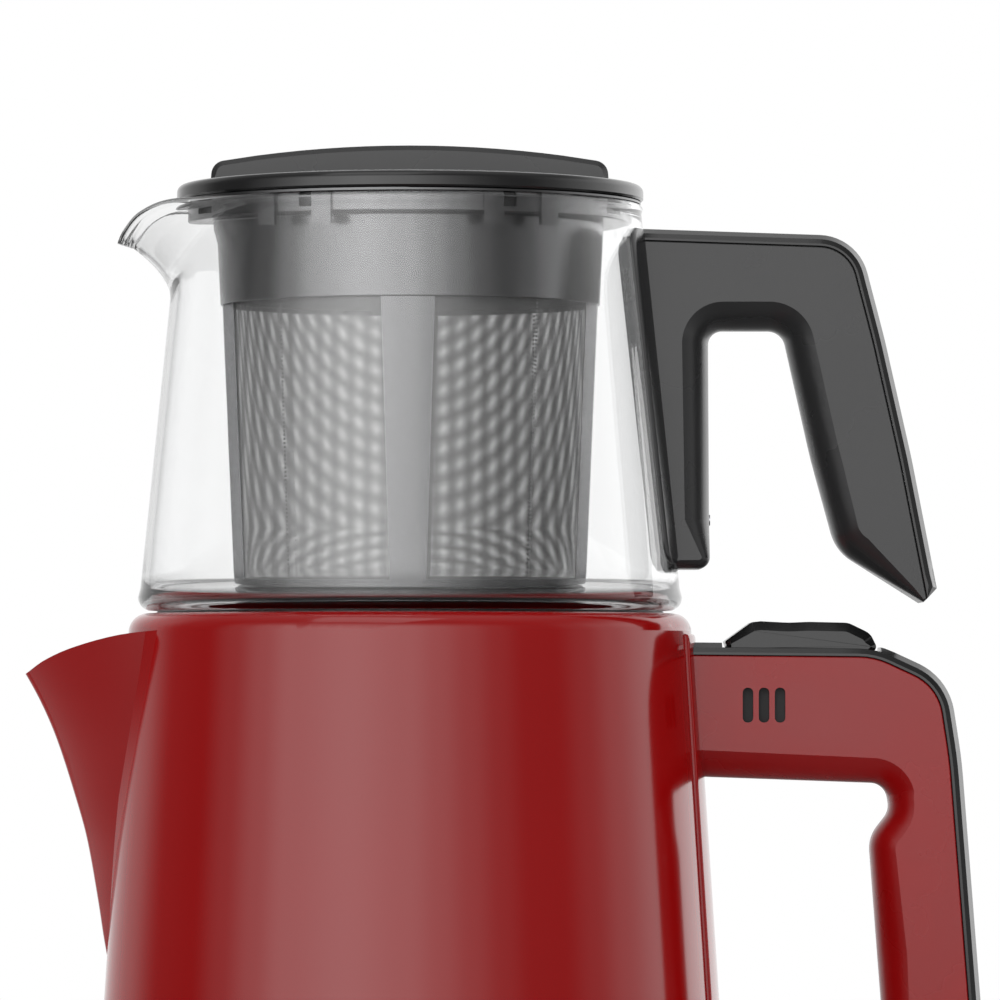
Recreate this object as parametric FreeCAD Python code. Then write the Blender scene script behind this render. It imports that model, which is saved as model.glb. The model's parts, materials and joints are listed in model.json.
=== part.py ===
import FreeCAD, Part
import math
import os

# Two-tier automatic tea maker: a red kettle on a power base, with a glass teapot on top.
# Lengths are millimetres. The origin is on the kettle's axis, on the table, with +Z up.
# The spouts point along -X, and the handles along +X.

V = FreeCAD.Vector
UP = V(0, 0, 1)

# Heights of the stack
SEAT_Z = 26.0          # top of the base plate, where the kettle stands
KETTLE_H = 150.0       # kettle from its foot to the top edge of the shell
GLASS_H = 104.6        # glass from its underside to the rim
TOP = SEAT_Z + KETTLE_H
COLLAR_RISE = 0.5      # the collar stands this far above the shell's top edge
GLASS_Z = TOP + COLLAR_RISE

# Clearances
GAP = 0.3              # between pieces on different bodies
FIT = 0.04             # radial clearance of a shaft in its bore
SKIN = 0.05            # inside overlap that a cutting tool runs past a face
FAR = 120.0            # reach of a cutter that runs right through the part
NEAR = 2.5             # an edge this close to a path is one of its edges

# Kettle shell
SHELL_TOP_R = 72.3     # outer radius where the shoulder starts
SHELL_SLOPE = 0.0655   # growth of the radius per millimetre downwards
SHELL_T = 1.2
SHOULDER_R = 4.9
FOOT_H = 13.0          # height of the black foot under the shell
FOOT_T = 2.2
FOOT_OUT = 0.5         # the foot stands out this far from the shell
RECESS_R = 65.8        # recess in the shell's top that takes the collar
RECESS_DEPTH = 1.6
MOUTH_R = 60.0
COLLAR_R = 65.2
COLLAR_BORE_R = 52.0
COLLAR_SKIRT_T = 2.2
COLLAR_SKIRT_H = 11.0
SEAL_T = 0.7
FLOOR_RISE = 20.0      # kettle floor above the foot's underside
FLOOR_T = 1.0
FLOOR_FLANGE_H = 5.0

# Heater and control under the kettle's floor
HEAT_T = 3.5
HEAT_RIM = 10.0        # the heat plate reaches this far past the bar
ELEMENT_R = 44.0
ELEMENT_BAR_R = 3.3
ELEMENT_DROP = 0.8     # the bar's axis below the heat plate's underside
ELEMENT_OPEN = 14.0    # the bar leaves its circle this far from the middle
ELEMENT_END = 5.0      # and ends this far from it
CONTROL_H = 4.6
CONTROL_X = (-17.0, 25.0)
CONTROL_HALF = 15.0
CONTROL_CORNER_R = 1.2

# Wires from the switch to the control, and their channel inside the wall
DUCT_HALF = 7.5
DUCT_DEEP = 7.0
DUCT_T = 0.8
DUCT_TOP = TOP - 17.0
DUCT_LOW = SEAT_Z + FLOOR_RISE + FLOOR_T
WIRE_SLOT_HALF = 5.0   # hole in the shell inside the handle's root
WIRE_SLOT = (-36.0, -22.0)
WIRE_R = 1.1
WIRE_SIDE = 2.2        # the wires run this far each side of the middle
WIRE_INSET = 3.2       # and this far inside the wall
WIRE_BEND = 4.0
WIRE_START = (83.6, -29.0)

# Kettle spout: depth below the top edge and reach of its nose
SPOUT_T = 1.2
SPOUT_LEVELS = (
    (98.0, 75.6),
    (83.6, 78.6),
    (73.3, 80.2),
    (57.9, 83.0),
    (47.7, 85.8),
    (32.3, 90.8),
    (22.0, 95.3),
    (12.0, 101.0),
    (2.0, 107.5),
)
SPOUT_NOSE_R = 4.0
SPOUT_ROOT_X = -60.0
SPOUT_ROOT_HALF = 36.0
SPOUT_EDGE = ((-104.0, -18.6), (-98.9, -15.6), (-93.4, -12.1), (-85.5, -8.8), (-73.1, -5.6), (-60.0, -4.2))
WINDOW_TOP = 12.0
WINDOW_LOW = 52.0
WINDOW_HALF_TOP = 22.0
WINDOW_HALF_LOW = 10.0
FILTER_T = 0.8
FILTER_HOLE_R = 1.3
FILTER_PITCH = 4.4

# Teapot glass
GLASS_BOTTOM_R = 69.9
GLASS_SLOPE = 0.1018
GLASS_WALL = 1.9
GLASS_FLOOR = 2.5
GLASS_CORNER_R = 3.6
GLASS_INNER_CORNER_R = 3.0
BEAD_R = 1.3           # rounded rim
BEAD_OUT = 0.6
LIP_WALL = 1.7
LIP_LEVELS = (
    (78.0, 60.6),
    (83.6, 62.9),
    (87.3, 64.7),
    (90.5, 67.7),
    (94.4, 73.1),
    (98.5, 79.5),
    (107.0, 93.0),
)
LIP_NOSE_R = 4.5
LIP_ROOT_HALF = 38.0
LIP_EDGE = ((-82.0, 91.3), (-75.6, 95.4), (-73.4, 98.2), (-69.3, 101.8), (-62.0, 104.4), (-50.0, 104.7))
LIP_ROOT_X = -45.0

# Strainer
BAND_TOP_R = 49.8
BAND_LOW_R = 48.8
BAND_T = 1.4
BAND_Z = 78.5          # lower edge of the solid band above the glass underside
BAND_TOP_Z = 100.8
CAGE_STEP = 0.5        # the cage below the band is this much smaller
CAGE_LOW_R = 45.1
CAGE_Z = 3.3
CAGE_RING_H = 3.2
CAGE_LIP = 3.5
BAR_TOP = 13.6
BAR_LOW = 9.0
BAR_T = 2.6
BAR_LAP = 2.0          # the bars and the gauze reach this far into the band
MESH_T = 0.3
FLANGE_T = 0.8
FLANGE_R = 59.3
COLLAR_WALL_R = 56.3
COLLAR_WALL_T = 1.3
NOTCH_ANGLES = (24.0, 66.0, 114.0, 156.0, 204.0, 246.0, 294.0, 336.0)
NOTCH_W = 9.0

# Lid
LID_R = 60.0
LID_RIM_T = 4.1
LID_DOME = 2.6
LID_EDGE_R = 1.9
GRIP_HALF = 51.0
GRIP_ARC_R = 298.0
GRIP_RISE = 13.8       # top of the grip above the lid's underside
GRIP_W = 25.0
GRIP_END_R = 3.8
GRIP_BEVEL = 1.3
LID_SKIRT_R = 54.2
LID_SKIRT_T = 2.0
LID_SKIRT_H = 4.2
LID_SLOT_HALF = 4.0
LID_SLOT_H = 1.6
GASKET_H = 1.4

# Teapot handle, heights above the kettle's top edge: (x, z, corner radius)
TEA_GRIP_HALF = 12.9
TEA_COVER_T = 3.2
TEA_OUTER = ((50, 99.2, 0), (114.8, 96.6, 13), (121.6, 70.3, 150), (128.5, 39.5, 150), (134.9, 6.4, 0.9))
TEA_INNER = (
    (131.3, 2.8, 0.9),
    (109.5, 16.0, 12),
    (103.0, 39.5, 150),
    (95.6, 72.6, 4.5),
    (76.6, 72.6, 3.6),
    (76.8, 11.35, 3.0),
    (50, 11.35, 0),
)
TEA_FILLET = 3.5
TEA_SOFT_X = 65.0      # the soft edges lie beyond this X
SADDLE_HALF = 23.0
SADDLE_T = 2.2
SADDLE_TOP = 95.5
SADDLE_LOW = 13.8

# Kettle handle, heights from the kettle's top edge: (x, z, corner radius)
GRIP_HALF_W = 12.5
STRIP_T = 3.3
KET_OUTER = (
    (60, -7.4, 0),
    (119.5, -7.9, 22),
    (138.0, -16.5, 16),
    (141.2, -37.4, 120),
    (145.9, -98.7, 150),
    (147.6, -127.5, 0.9),
)
KET_INNER = (
    (143.8, -131.2, 0.9),
    (122.4, -118.0, 12),
    (120.0, -88.0, 60),
    (117.8, -57.5, 9),
    (123.2, -50.5, 5),
    (121.8, -43.6, 4.5),
    (75.6, -41.7, 3.0),
    (75.6, -44.0, 0),
    (60, -44.0, 0),
)
KET_FILLET = 4.0
KET_SOFT_X = 75.65     # the soft edges lie beyond this X
GRIP_WALL = 3.0
HOLLOW_X = (60.0, 119.0)     # hollow of the grip's root, where the switch and bracket are
HOLLOW_Z = (-36.5, -14.0)
VENT_X = (86.4, 90.5, 94.6)
VENT_W = 2.7
VENT_H = 8.9
VENT_Z = -23.5
VENT_CORNER_R = 1.0
PANEL_T = 0.9
PANEL_HALF_TOP = 18.0
PANEL_HALF_LOW = 21.5
PANEL_TOP = -5.2

# Rocker on the kettle handle
ROCKER_X = 99.9
ROCKER_HALF = 20.4
ROCKER_TOP = -2.1
ROCKER_LOW = -7.6      # underside of the rocker's cap
ROCKER_HALF_W = 10.4
ROCKER_BEVEL = 2.5
ROCKER_STEM = 12.0     # half length of the part inside the strip
ROCKER_STEM_W = 7.5
PIN_R = 1.5
PIN_Z = -12.8
PIN_HOLD = 2.9         # the pin reaches this far past the stem, into the grip
STEM_LOW = -15.4
STEM_CUT = 2.5         # width of the slants at the stem's lower ends
STEM_CUT_H = 4.3
LEVER_LOW = -20.5
LEVER_HALF = 1.5
WELL_LOW = -16.8
ROCKER_POCKET = 2.2
POCKET_GAP = 0.7
SWITCH_X = (86.5, 112.0)
SWITCH_HALF = 8.0
SWITCH_Z = (-35.0, -17.5)
SWITCH_SLOT = 4.0      # half length of the slot for the rocker's lever
DISC_X = 92.5          # bimetal disc behind the vents
DISC_Z = -26.0
DISC_R = 6.5
DISC_T = 1.2
BRACKET_Z = (-36.2, -14.3)
BRACKET_X = (70.0, 86.0)
BRACKET_T = 1.5
BRACKET_FOOT_HALF = 9.0

# Screws
SCREW_R = 1.4
SCREW_HEAD_R = 2.6
SCREW_HEAD_T = 1.5
CROSS_HALF = 1.6       # half length of the cross recess
CROSS_WIDE = 0.35      # and its half width
CROSS_DEEP = 0.7
SCREW_SEAT = 10.7      # the heads of the grip's screws sit at this Y
SCREW_REACH = 9.0      # and their tips this far in front of the middle
HANDLE_SCREWS = ((82.0, -17.0), (82.0, -33.5), (128.5, -33.0), (131.0, -100.0))
TEA_SCREW_Z = (86.0, 24.0)
TEA_SCREW_L = 9.0
TEA_SCREW_START = 0.6
FOOT_SCREW_R = 63.0
FOOT_SCREW_ANGLES = (60, 180, 300)
FOOT_SCREW_L = 15.0
FOOT_SINK = 1.6        # depth of the hole that takes a foot screw's head
FOOT_POST_R = 4.0
FOOT_POST_H = 14.0
BASE_SCREW_R = 66.0
BASE_SCREW_ANGLES = (30, 150, 270)
BASE_SCREW_L = 12.0
BASE_SINK = 1.8
BASE_POST_R = 3.6
BASE_POST_H = 6.0

# Power base
BASE_RIM_GAP = 1.1     # between the kettle's foot and the raised rim
BASE_RIM_W = 3.1       # width of the rim's top
BASE_TAPER = 1.5       # the wall leans in by this much
BASE_RIM_H = 2.4
BASE_T = 2.4
BASE_EDGE_R = 2.0
BASE_RIM_BORE = SHELL_TOP_R + SHELL_SLOPE * (KETTLE_H - SHOULDER_R) + FOOT_OUT + BASE_RIM_GAP
BASE_TOP_R = BASE_RIM_BORE + BASE_RIM_W
BASE_R = BASE_TOP_R + BASE_TAPER
BOTTOM_INSET = 0.6     # the bottom plate stands this far inside the cover's wall
BOTTOM_LIP_T = 2.2
BOTTOM_LIP_H = 3.0
FOOT_RING_H = 2.0
FOOT_RING_SEAT = 0.4   # the foot ring reaches this far into its groove
FOOT_RING_IN = 9.0     # and lies this far inside the base's edge
FOOT_RING_W = 7.0
SOCKET_R = 19.0
SOCKET_H = 9.0
SOCKET_LOW = SEAT_Z - 8.0
SOCKET_TOP = SEAT_Z + SOCKET_H
SOCKET_FLANGE = 3.0
PILLAR_R = (12.0, 15.0)
RING_T = 2.7           # slip ring round the tower
RING_H = 5.0
RING_R = SOCKET_R + GAP
FOOT_BORE_R = RING_R + RING_T + 0.4
CONNECTOR_RIM = 3.4    # the plug reaches this far past the hole in the foot
GROOVE_R = (8.6, 13.4)
GROOVE_DEPTH = 12.0
CORE_R = 3.0
CONTACT_R = (10.4, 11.6)
CONTACT_PIN_R = 2.0
CONTACT_REACH = 6.0
CORD_Z = 14.0
CORD_BUSH_R = 6.0
CORD_NECK_R = 4.7
CORD_BORE_R = 3.6
CORD_HOLE_R = 4.8
CORD_BUSH_T = 3.0
CORD_NECK_L = 7.0
CORD_SEAT = 0.8        # the bush stays this far inside the round wall
TERMINAL = (24.0, 12.0, 9.0)
TERMINAL_Y = 51.0
TERMINAL_PITCH = 7.5


def shell_r(z):
    """Outer radius of the kettle shell at a height."""
    return SHELL_TOP_R + SHELL_SLOPE * (TOP - SHOULDER_R - z)


def glass_r(z):
    """Outer radius of the glass at a height above its underside."""
    return GLASS_BOTTOM_R - GLASS_SLOPE * z


def base_r(z):
    """Outer radius of the power base at a height."""
    low = FOOT_RING_H + BASE_T
    return BASE_R - BASE_TAPER * (z - low) / (SEAT_Z + BASE_RIM_H - low)


def spots(r, angles):
    """Places on a circle round the axis."""
    return [(r * math.cos(math.radians(a)), r * math.sin(math.radians(a))) for a in angles]


FOOT_SCREWS = spots(FOOT_SCREW_R, FOOT_SCREW_ANGLES)
BASE_SCREWS = spots(BASE_SCREW_R, BASE_SCREW_ANGLES)


def cylinder(r, z0, z1, x=0.0, y=0.0):
    return Part.makeCylinder(r, z1 - z0, V(x, y, z0))


def rod(r, y0, y1, x, z):
    """Cylinder along Y."""
    return Part.makeCylinder(r, y1 - y0, V(x, y0, z), V(0, 1, 0))


def peg(r, x0, x1, z):
    """Cylinder along X in the middle plane."""
    return Part.makeCylinder(r, x1 - x0, V(x0, 0, z), V(1, 0, 0))


def ring(r0, r1, z0, z1):
    return cylinder(r1, z0, z1).cut(cylinder(r0, z0 - SKIN, z1 + SKIN))


def box(x0, x1, y0, y1, z0, z1):
    return Part.makeBox(x1 - x0, y1 - y0, z1 - z0, V(x0, y0, z0))


def tapered_block(x0, x1, z0, z1, half_low, half_high):
    """Block from x0 to x1 whose width changes with height."""
    corners = [
        V(x0, -half_low, z0),
        V(x0, half_low, z0),
        V(x0, half_high, z1),
        V(x0, -half_high, z1),
    ]
    face = Part.Face(Part.makePolygon(corners + corners[:1]))
    return face.extrude(V(x1 - x0, 0, 0))


def corner_edges(points):
    """Closed run of lines and arcs through 2-D points (u, v, corner radius)."""
    count = len(points)
    starts = []
    ends = []
    arcs = []
    for i, (u, v, r) in enumerate(points):
        here = V(u, v, 0)
        if r <= 0:
            starts.append(here)
            ends.append(here)
            arcs.append(None)
            continue
        before = V(points[i - 1][0], points[i - 1][1], 0) - here
        after = V(points[(i + 1) % count][0], points[(i + 1) % count][1], 0) - here
        before.normalize()
        after.normalize()
        half = before.getAngle(after) / 2
        reach = r / math.tan(half)
        middle = before + after
        middle.normalize()
        start = here + before * reach
        end = here + after * reach
        mid = here + middle * (r / math.sin(half) - r)
        starts.append(start)
        ends.append(end)
        arcs.append(Part.Arc(start, mid, end).toShape())
    edges = []
    for i in range(count):
        if arcs[i]:
            edges.append(arcs[i])
        a = ends[i]
        b = starts[(i + 1) % count]
        if (b - a).Length > 1e-6:
            edges.append(Part.LineSegment(a, b).toShape())
    return edges


def side_face(points):
    """Face in the XZ plane from points (x, z, corner radius)."""
    wire = Part.Wire(corner_edges(points))
    wire.rotate(V(0, 0, 0), V(1, 0, 0), 90)
    return Part.Face(wire)


def side_slab(points, half, lift=0.0):
    """Solid of that face, from -half to +half along Y."""
    face = side_face(points)
    face.translate(V(0, -half, lift))
    return face.extrude(V(0, 2 * half, 0))


def end_slab(points, x0, x1, lift=0.0):
    """Solid of an outline (y, z, corner radius) from x0 to x1."""
    slab = side_slab(points, (x1 - x0) / 2, lift)
    slab.rotate(V(0, 0, 0), UP, 90)
    slab.translate(V((x0 + x1) / 2, 0, 0))
    return slab


def turned(points):
    """Solid of revolution about Z from points (r, z, corner radius)."""
    return side_face(points).revolve(V(0, 0, 0), UP, 360)


def offset_path(points, distance):
    """Open path moved to the right of its direction of travel."""
    lines = []
    for a, b in zip(points, points[1:]):
        d = V(b[0] - a[0], b[1] - a[1], 0)
        d.normalize()
        n = V(d.y, -d.x, 0) * distance
        lines.append((V(a[0], a[1], 0) + n, d))
    path = [(lines[0][0].x, lines[0][0].y, 0)]
    for (p, d), (q, e), corner in zip(lines, lines[1:], points[1:]):
        t = ((q.x - p.x) * e.y - (q.y - p.y) * e.x) / (d.x * e.y - d.y * e.x)
        path.append((p.x + d.x * t, p.y + d.y * t, max(corner[2] - distance, 0.5)))
    (x0, z0), (x1, z1) = points[-2][:2], points[-1][:2]
    end = lines[-1][0] + lines[-1][1] * math.hypot(x1 - x0, z1 - z0)
    path.append((end.x, end.y, 0))
    return path


def spout_section(z, nose, nose_r, root_x, root_half):
    """Closed V outline at one height, with a round nose."""
    back = -root_x
    run = nose - nose_r - back
    gap = math.hypot(run, root_half)
    normal = math.atan2(root_half, -run) - math.acos(nose_r / gap)
    touch_x = -(nose - nose_r + nose_r * math.cos(normal))
    touch_y = nose_r * math.sin(normal)
    arc = Part.Arc(V(touch_x, touch_y, z), V(-nose, 0, z), V(touch_x, -touch_y, z)).toShape()
    upper = Part.LineSegment(V(root_x, root_half, z), V(touch_x, touch_y, z)).toShape()
    lower = Part.LineSegment(V(touch_x, -touch_y, z), V(root_x, -root_half, z)).toShape()
    rear = Part.LineSegment(V(root_x, -root_half, z), V(root_x, root_half, z)).toShape()
    return Part.Wire([upper, arc, lower, rear])


def spout_block(levels, nose_r, root_x, root_half, thinner=0.0):
    """Solid V spout through its levels (height, nose reach), made smaller by a wall."""
    wires = []
    inner_r = nose_r - thinner * 0.6
    inner_half = root_half - thinner * 1.35
    for z, nose in levels:
        wires.append(spout_section(z, nose - thinner, inner_r, root_x, inner_half))
    return Part.makeLoft(wires, True, False)


def above_edge(points, lift):
    """Block above a spout's upper edge, which runs from its tip to its root."""
    curve = Part.BSplineCurve()
    curve.interpolate([V(x, -FAR, z + lift) for x, z in points])
    first = V(points[0][0], -FAR, points[0][1] + lift)
    last = V(points[-1][0], -FAR, points[-1][1] + lift)
    high = last.z + FAR
    corners = [
        last,
        V(last.x, -FAR, high),
        V(first.x - FAR, -FAR, high),
        V(first.x - FAR, -FAR, first.z),
        first,
    ]
    edges = [curve.toShape()]
    for a, b in zip(corners, corners[1:]):
        edges.append(Part.LineSegment(a, b).toShape())
    return Part.Face(Part.Wire(edges)).extrude(V(0, 2 * FAR, 0))


def tube_path(points, r, bend):
    """Round bar along straight runs that are joined by arcs."""
    edges = []
    last = V(*points[0])
    for i in range(1, len(points) - 1):
        here = V(*points[i])
        before = V(*points[i - 1]) - here
        after = V(*points[i + 1]) - here
        before.normalize()
        after.normalize()
        half = before.getAngle(after) / 2
        reach = bend / math.tan(half)
        middle = before + after
        middle.normalize()
        start = here + before * reach
        end = here + after * reach
        mid = here + middle * (bend / math.sin(half) - bend)
        edges.append(Part.LineSegment(last, start).toShape())
        edges.append(Part.Arc(start, mid, end).toShape())
        last = end
    edges.append(Part.LineSegment(last, V(*points[-1])).toShape())
    path = Part.Wire(edges)
    direction = V(*points[1]) - V(*points[0])
    profile = Part.Wire([Part.makeCircle(r, V(*points[0]), direction)])
    return path.makePipeShell([profile], True, False)


def shell_outline(offset=0.0, low=0.0):
    """Solid that fills the kettle shell, made smaller by an offset."""
    bottom = SEAT_Z + FOOT_H - low
    shoulder = TOP - SHOULDER_R
    top = TOP - offset
    return turned((
        (0, bottom, 0),
        (shell_r(bottom) - offset, bottom, 0),
        (shell_r(top) - offset, top, max(SHOULDER_R - offset, 1.0)),
        (0, top, 0),
    ))


def wall_cone(offset):
    """Plain cone through the shell's outer wall, made smaller by an offset."""
    high = TOP + 10
    return Part.makeCone(shell_r(0) - offset, shell_r(high) - offset, high)


def spout_window():
    """Cutter for the hole in the shell behind the spout."""
    low = TOP - WINDOW_LOW
    high = TOP - WINDOW_TOP
    return tapered_block(-FAR, -COLLAR_BORE_R, low, high, WINDOW_HALF_LOW, WINDOW_HALF_TOP)


def wire_slot():
    """Cutter for the hole in the shell inside the handle's root."""
    low, high = WIRE_SLOT
    return box(COLLAR_BORE_R, FAR, -WIRE_SLOT_HALF, WIRE_SLOT_HALF, TOP + low, TOP + high)


def kettle_body():
    outer = shell_outline()
    inner = shell_outline(SHELL_T, SKIN)
    shell = outer.cut(inner)
    shell = shell.cut(cylinder(RECESS_R, TOP - RECESS_DEPTH, TOP + 1))
    shelf = ring(MOUTH_R, RECESS_R + SHELL_T, TOP - RECESS_DEPTH - SHELL_T, TOP - RECESS_DEPTH)
    neck = ring(RECESS_R, RECESS_R + SHELL_T, TOP - RECESS_DEPTH - SHELL_T, TOP)
    shell = shell.fuse([shelf.common(outer), neck.common(outer)])
    shell = shell.cut(cylinder(MOUTH_R, TOP - 10, TOP + 1))
    shell = shell.cut(spout_window())
    return shell.cut(wire_slot()).removeSplitter()


def kettle_spout():
    levels = [(TOP - depth, nose) for depth, nose in SPOUT_LEVELS]
    outer = spout_block(levels, SPOUT_NOSE_R, SPOUT_ROOT_X, SPOUT_ROOT_HALF)
    inner = spout_block(levels, SPOUT_NOSE_R, SPOUT_ROOT_X, SPOUT_ROOT_HALF, SPOUT_T)
    shell = outer.cut(inner).cut(shell_outline())
    shell = shell.cut(above_edge(SPOUT_EDGE, TOP))
    return max(shell.Solids, key=lambda solid: solid.Volume)


def spout_filter():
    """Perforated plate on the inside of the window."""
    margin = FILTER_HOLE_R * 3
    z0 = TOP - WINDOW_LOW - margin
    z1 = TOP - WINDOW_TOP + margin
    half = WINDOW_HALF_TOP + margin
    plate = wall_cone(SHELL_T + FIT).cut(wall_cone(SHELL_T + FIT + FILTER_T))
    plate = plate.common(box(-FAR, 0, -half, half, z0, z1))
    holes = []
    z = z0 + FILTER_PITCH
    while z < z1 - FILTER_PITCH:
        share = (z - TOP + WINDOW_LOW) / (WINDOW_LOW - WINDOW_TOP)
        half = WINDOW_HALF_LOW + (WINDOW_HALF_TOP - WINDOW_HALF_LOW) * min(max(share, 0), 1)
        steps = int((half - FILTER_HOLE_R) / FILTER_PITCH)
        for i in range(-steps, steps + 1):
            holes.append(Part.makeCylinder(FILTER_HOLE_R, FAR, V(-FAR, i * FILTER_PITCH, z), V(1, 0, 0)))
        z += FILTER_PITCH
    return plate.cut(holes)


def kettle_collar():
    z1 = TOP + COLLAR_RISE
    z0 = TOP - RECESS_DEPTH + SEAL_T
    skirt = MOUTH_R - GAP
    return turned((
        (COLLAR_BORE_R, z1, 0.8),
        (COLLAR_R, z1, 0.5),
        (COLLAR_R, z0, 0),
        (skirt, z0, 0),
        (skirt, z0 - COLLAR_SKIRT_H, 0.6),
        (skirt - COLLAR_SKIRT_T, z0 - COLLAR_SKIRT_H, 0.6),
        (skirt - COLLAR_SKIRT_T, z0 - 1.2, 0.8),
        (COLLAR_BORE_R, z0 - 1.2, 0.5),
    ))


def collar_seal():
    z0 = TOP - RECESS_DEPTH
    return ring(MOUTH_R + 0.5, COLLAR_R - 0.4, z0, z0 + SEAL_T)


def kettle_floor():
    """Dish with a flange that is welded to the shell's inside."""
    z = SEAT_Z + FLOOR_RISE
    inner = wall_cone(SHELL_T + FIT)
    plate = inner.common(cylinder(FAR, z, z + FLOOR_T))
    flange = inner.cut(wall_cone(SHELL_T + FLOOR_T))
    return plate.fuse(flange.common(cylinder(FAR, z - FLOOR_FLANGE_H, z + FLOOR_T))).removeSplitter()


def heat_plate():
    """Aluminium disc under the floor, with a groove for the bar."""
    z1 = SEAT_Z + FLOOR_RISE
    plate = turned((
        (0, z1 - HEAT_T, 0),
        (ELEMENT_R + HEAT_RIM, z1 - HEAT_T, 1),
        (ELEMENT_R + HEAT_RIM, z1, 1),
        (0, z1, 0),
    ))
    return plate.cut(heating_element())


def heating_element():
    """Bent heating bar, open at its terminals on the +X side."""
    z = SEAT_Z + FLOOR_RISE - HEAT_T - ELEMENT_DROP
    low = z - 2 * ELEMENT_BAR_R
    high = z + 2 * ELEMENT_BAR_R
    opening = box(ELEMENT_R / 2, FAR, -ELEMENT_OPEN, ELEMENT_OPEN, low, high)
    bar = Part.makeTorus(ELEMENT_R, ELEMENT_BAR_R, V(0, 0, z)).cut(opening)
    x = math.sqrt(ELEMENT_R ** 2 - ELEMENT_OPEN ** 2)
    for side in (-1, 1):
        outer = side * ELEMENT_OPEN
        inner = side * ELEMENT_END
        bar = bar.fuse(rod(ELEMENT_BAR_R, min(outer, inner), max(outer, inner), x, z))
    return bar.removeSplitter()


def thermostat():
    """Control block between the plug and the heat plate."""
    z1 = SEAT_Z + FLOOR_RISE - HEAT_T
    z0 = z1 - CONTROL_H
    block = box(CONTROL_X[0], CONTROL_X[1], -CONTROL_HALF, CONTROL_HALF, z0, z1)
    upright = [e for e in block.Edges if e.BoundBox.ZLength > CONTROL_H / 2]
    return block.makeFillet(CONTROL_CORNER_R, upright)


def kettle_connector():
    """Plug of the kettle: a cap with a centre pin and a contact ring."""
    z1 = SEAT_Z + FLOOR_RISE - HEAT_T - CONTROL_H
    z0 = SEAT_Z + SOCKET_H + GAP
    low = z0 - GAP - CONTACT_REACH
    cap = cylinder(FOOT_BORE_R + CONNECTOR_RIM, z0, z1)
    pin = cylinder(CONTACT_PIN_R, low, z0)
    tube = ring(CONTACT_R[0], CONTACT_R[1], low, z0)
    return cap.fuse([pin, tube]).removeSplitter()


def foot_profile_r(z):
    return shell_r(z) + FOOT_OUT


def kettle_foot():
    """Black cup under the shell, with the hole for the power socket."""
    z0 = SEAT_Z
    z1 = SEAT_Z + FOOT_H
    low_r = foot_profile_r(z0)
    high_r = foot_profile_r(z1)
    cup = turned((
        (FOOT_BORE_R, z0, 0.6),
        (low_r - 1.2, z0, 0.8),
        (low_r, z0 + 2.2, 1.2),
        (high_r, z1, 0.6),
        (high_r - FOOT_T, z1, 0),
        (low_r - FOOT_T, z0 + FOOT_T, 1.0),
        (FOOT_BORE_R + 2.2, z0 + FOOT_T, 0),
        (FOOT_BORE_R + 2.2, z0 + SOCKET_H + GAP, 0),
        (FOOT_BORE_R, z0 + SOCKET_H + GAP, 0),
    ))
    for x, y in FOOT_SCREWS:
        cup = cup.fuse(cylinder(FOOT_POST_R, z0 + FOOT_T - SKIN, z0 + FOOT_POST_H, x, y))
    for x, y in FOOT_SCREWS:
        cup = cup.cut(cylinder(SCREW_R + FIT, z0 - 1, z0 + FOOT_POST_H + 1, x, y))
        cup = cup.cut(cylinder(SCREW_HEAD_R + 2 * GAP, z0 - 1, z0 + FOOT_SINK, x, y))
    return cup.removeSplitter()


def screw(x, y, z, shaft):
    """Upright screw with its head down and a cross recess."""
    low = z - SCREW_HEAD_T
    body = cylinder(SCREW_R, z, z + shaft, x, y).fuse(cylinder(SCREW_HEAD_R, low, z, x, y))
    for wide, deep in ((CROSS_HALF, CROSS_WIDE), (CROSS_WIDE, CROSS_HALF)):
        body = body.cut(box(x - wide, x + wide, y - deep, y + deep, low - SKIN, low + CROSS_DEEP))
    return body


def foot_screws():
    return Part.makeCompound([screw(x, y, SEAT_Z + FOOT_SINK, FOOT_SCREW_L) for x, y in FOOT_SCREWS])


def duct_panel():
    """Raised panel on the shell, behind the handle."""
    skin = wall_cone(-PANEL_T).cut(wall_cone(0))
    mask = tapered_block(0, FAR, SEAT_Z + FOOT_H, TOP + PANEL_TOP, PANEL_HALF_LOW, PANEL_HALF_TOP)
    return skin.common(mask).cut(wire_slot())


def wall_strip(inside, outside, half, z0, z1):
    """Straight strip along the +X wall, measured inwards from its outer face."""
    points = (
        (shell_r(z0) - outside, z0, 0),
        (shell_r(z1) - outside, z1, 0),
        (shell_r(z1) - inside, z1, 0),
        (shell_r(z0) - inside, z0, 0),
    )
    return side_slab(points, half)


def wire_duct():
    """Steel channel on the inside of the wall, closed at its top."""
    beyond = -2 * DUCT_DEEP
    outer = wall_strip(SHELL_T + DUCT_DEEP, beyond, DUCT_HALF, DUCT_LOW, DUCT_TOP)
    inside = DUCT_HALF - DUCT_T
    hollow = wall_strip(SHELL_T + DUCT_DEEP - DUCT_T, beyond, inside, DUCT_LOW - 1, DUCT_TOP - DUCT_T)
    return outer.cut(hollow).common(wall_cone(SHELL_T + FIT))


def handle_wires():
    """Two wires from the switch down the channel."""
    x, z = WIRE_START
    low = DUCT_LOW + 0.5
    inset = SHELL_T + WIRE_INSET
    wires = []
    for side in (-1, 1):
        y = WIRE_SIDE * side
        route = [
            (x, y, TOP + z),
            (shell_r(TOP + z - 1) - inset, y, TOP + z),
            (shell_r(low + 0.5) - inset, y, low),
        ]
        wires.append(tube_path(route, WIRE_R, WIRE_BEND))
    return Part.makeCompound(wires)


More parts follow.
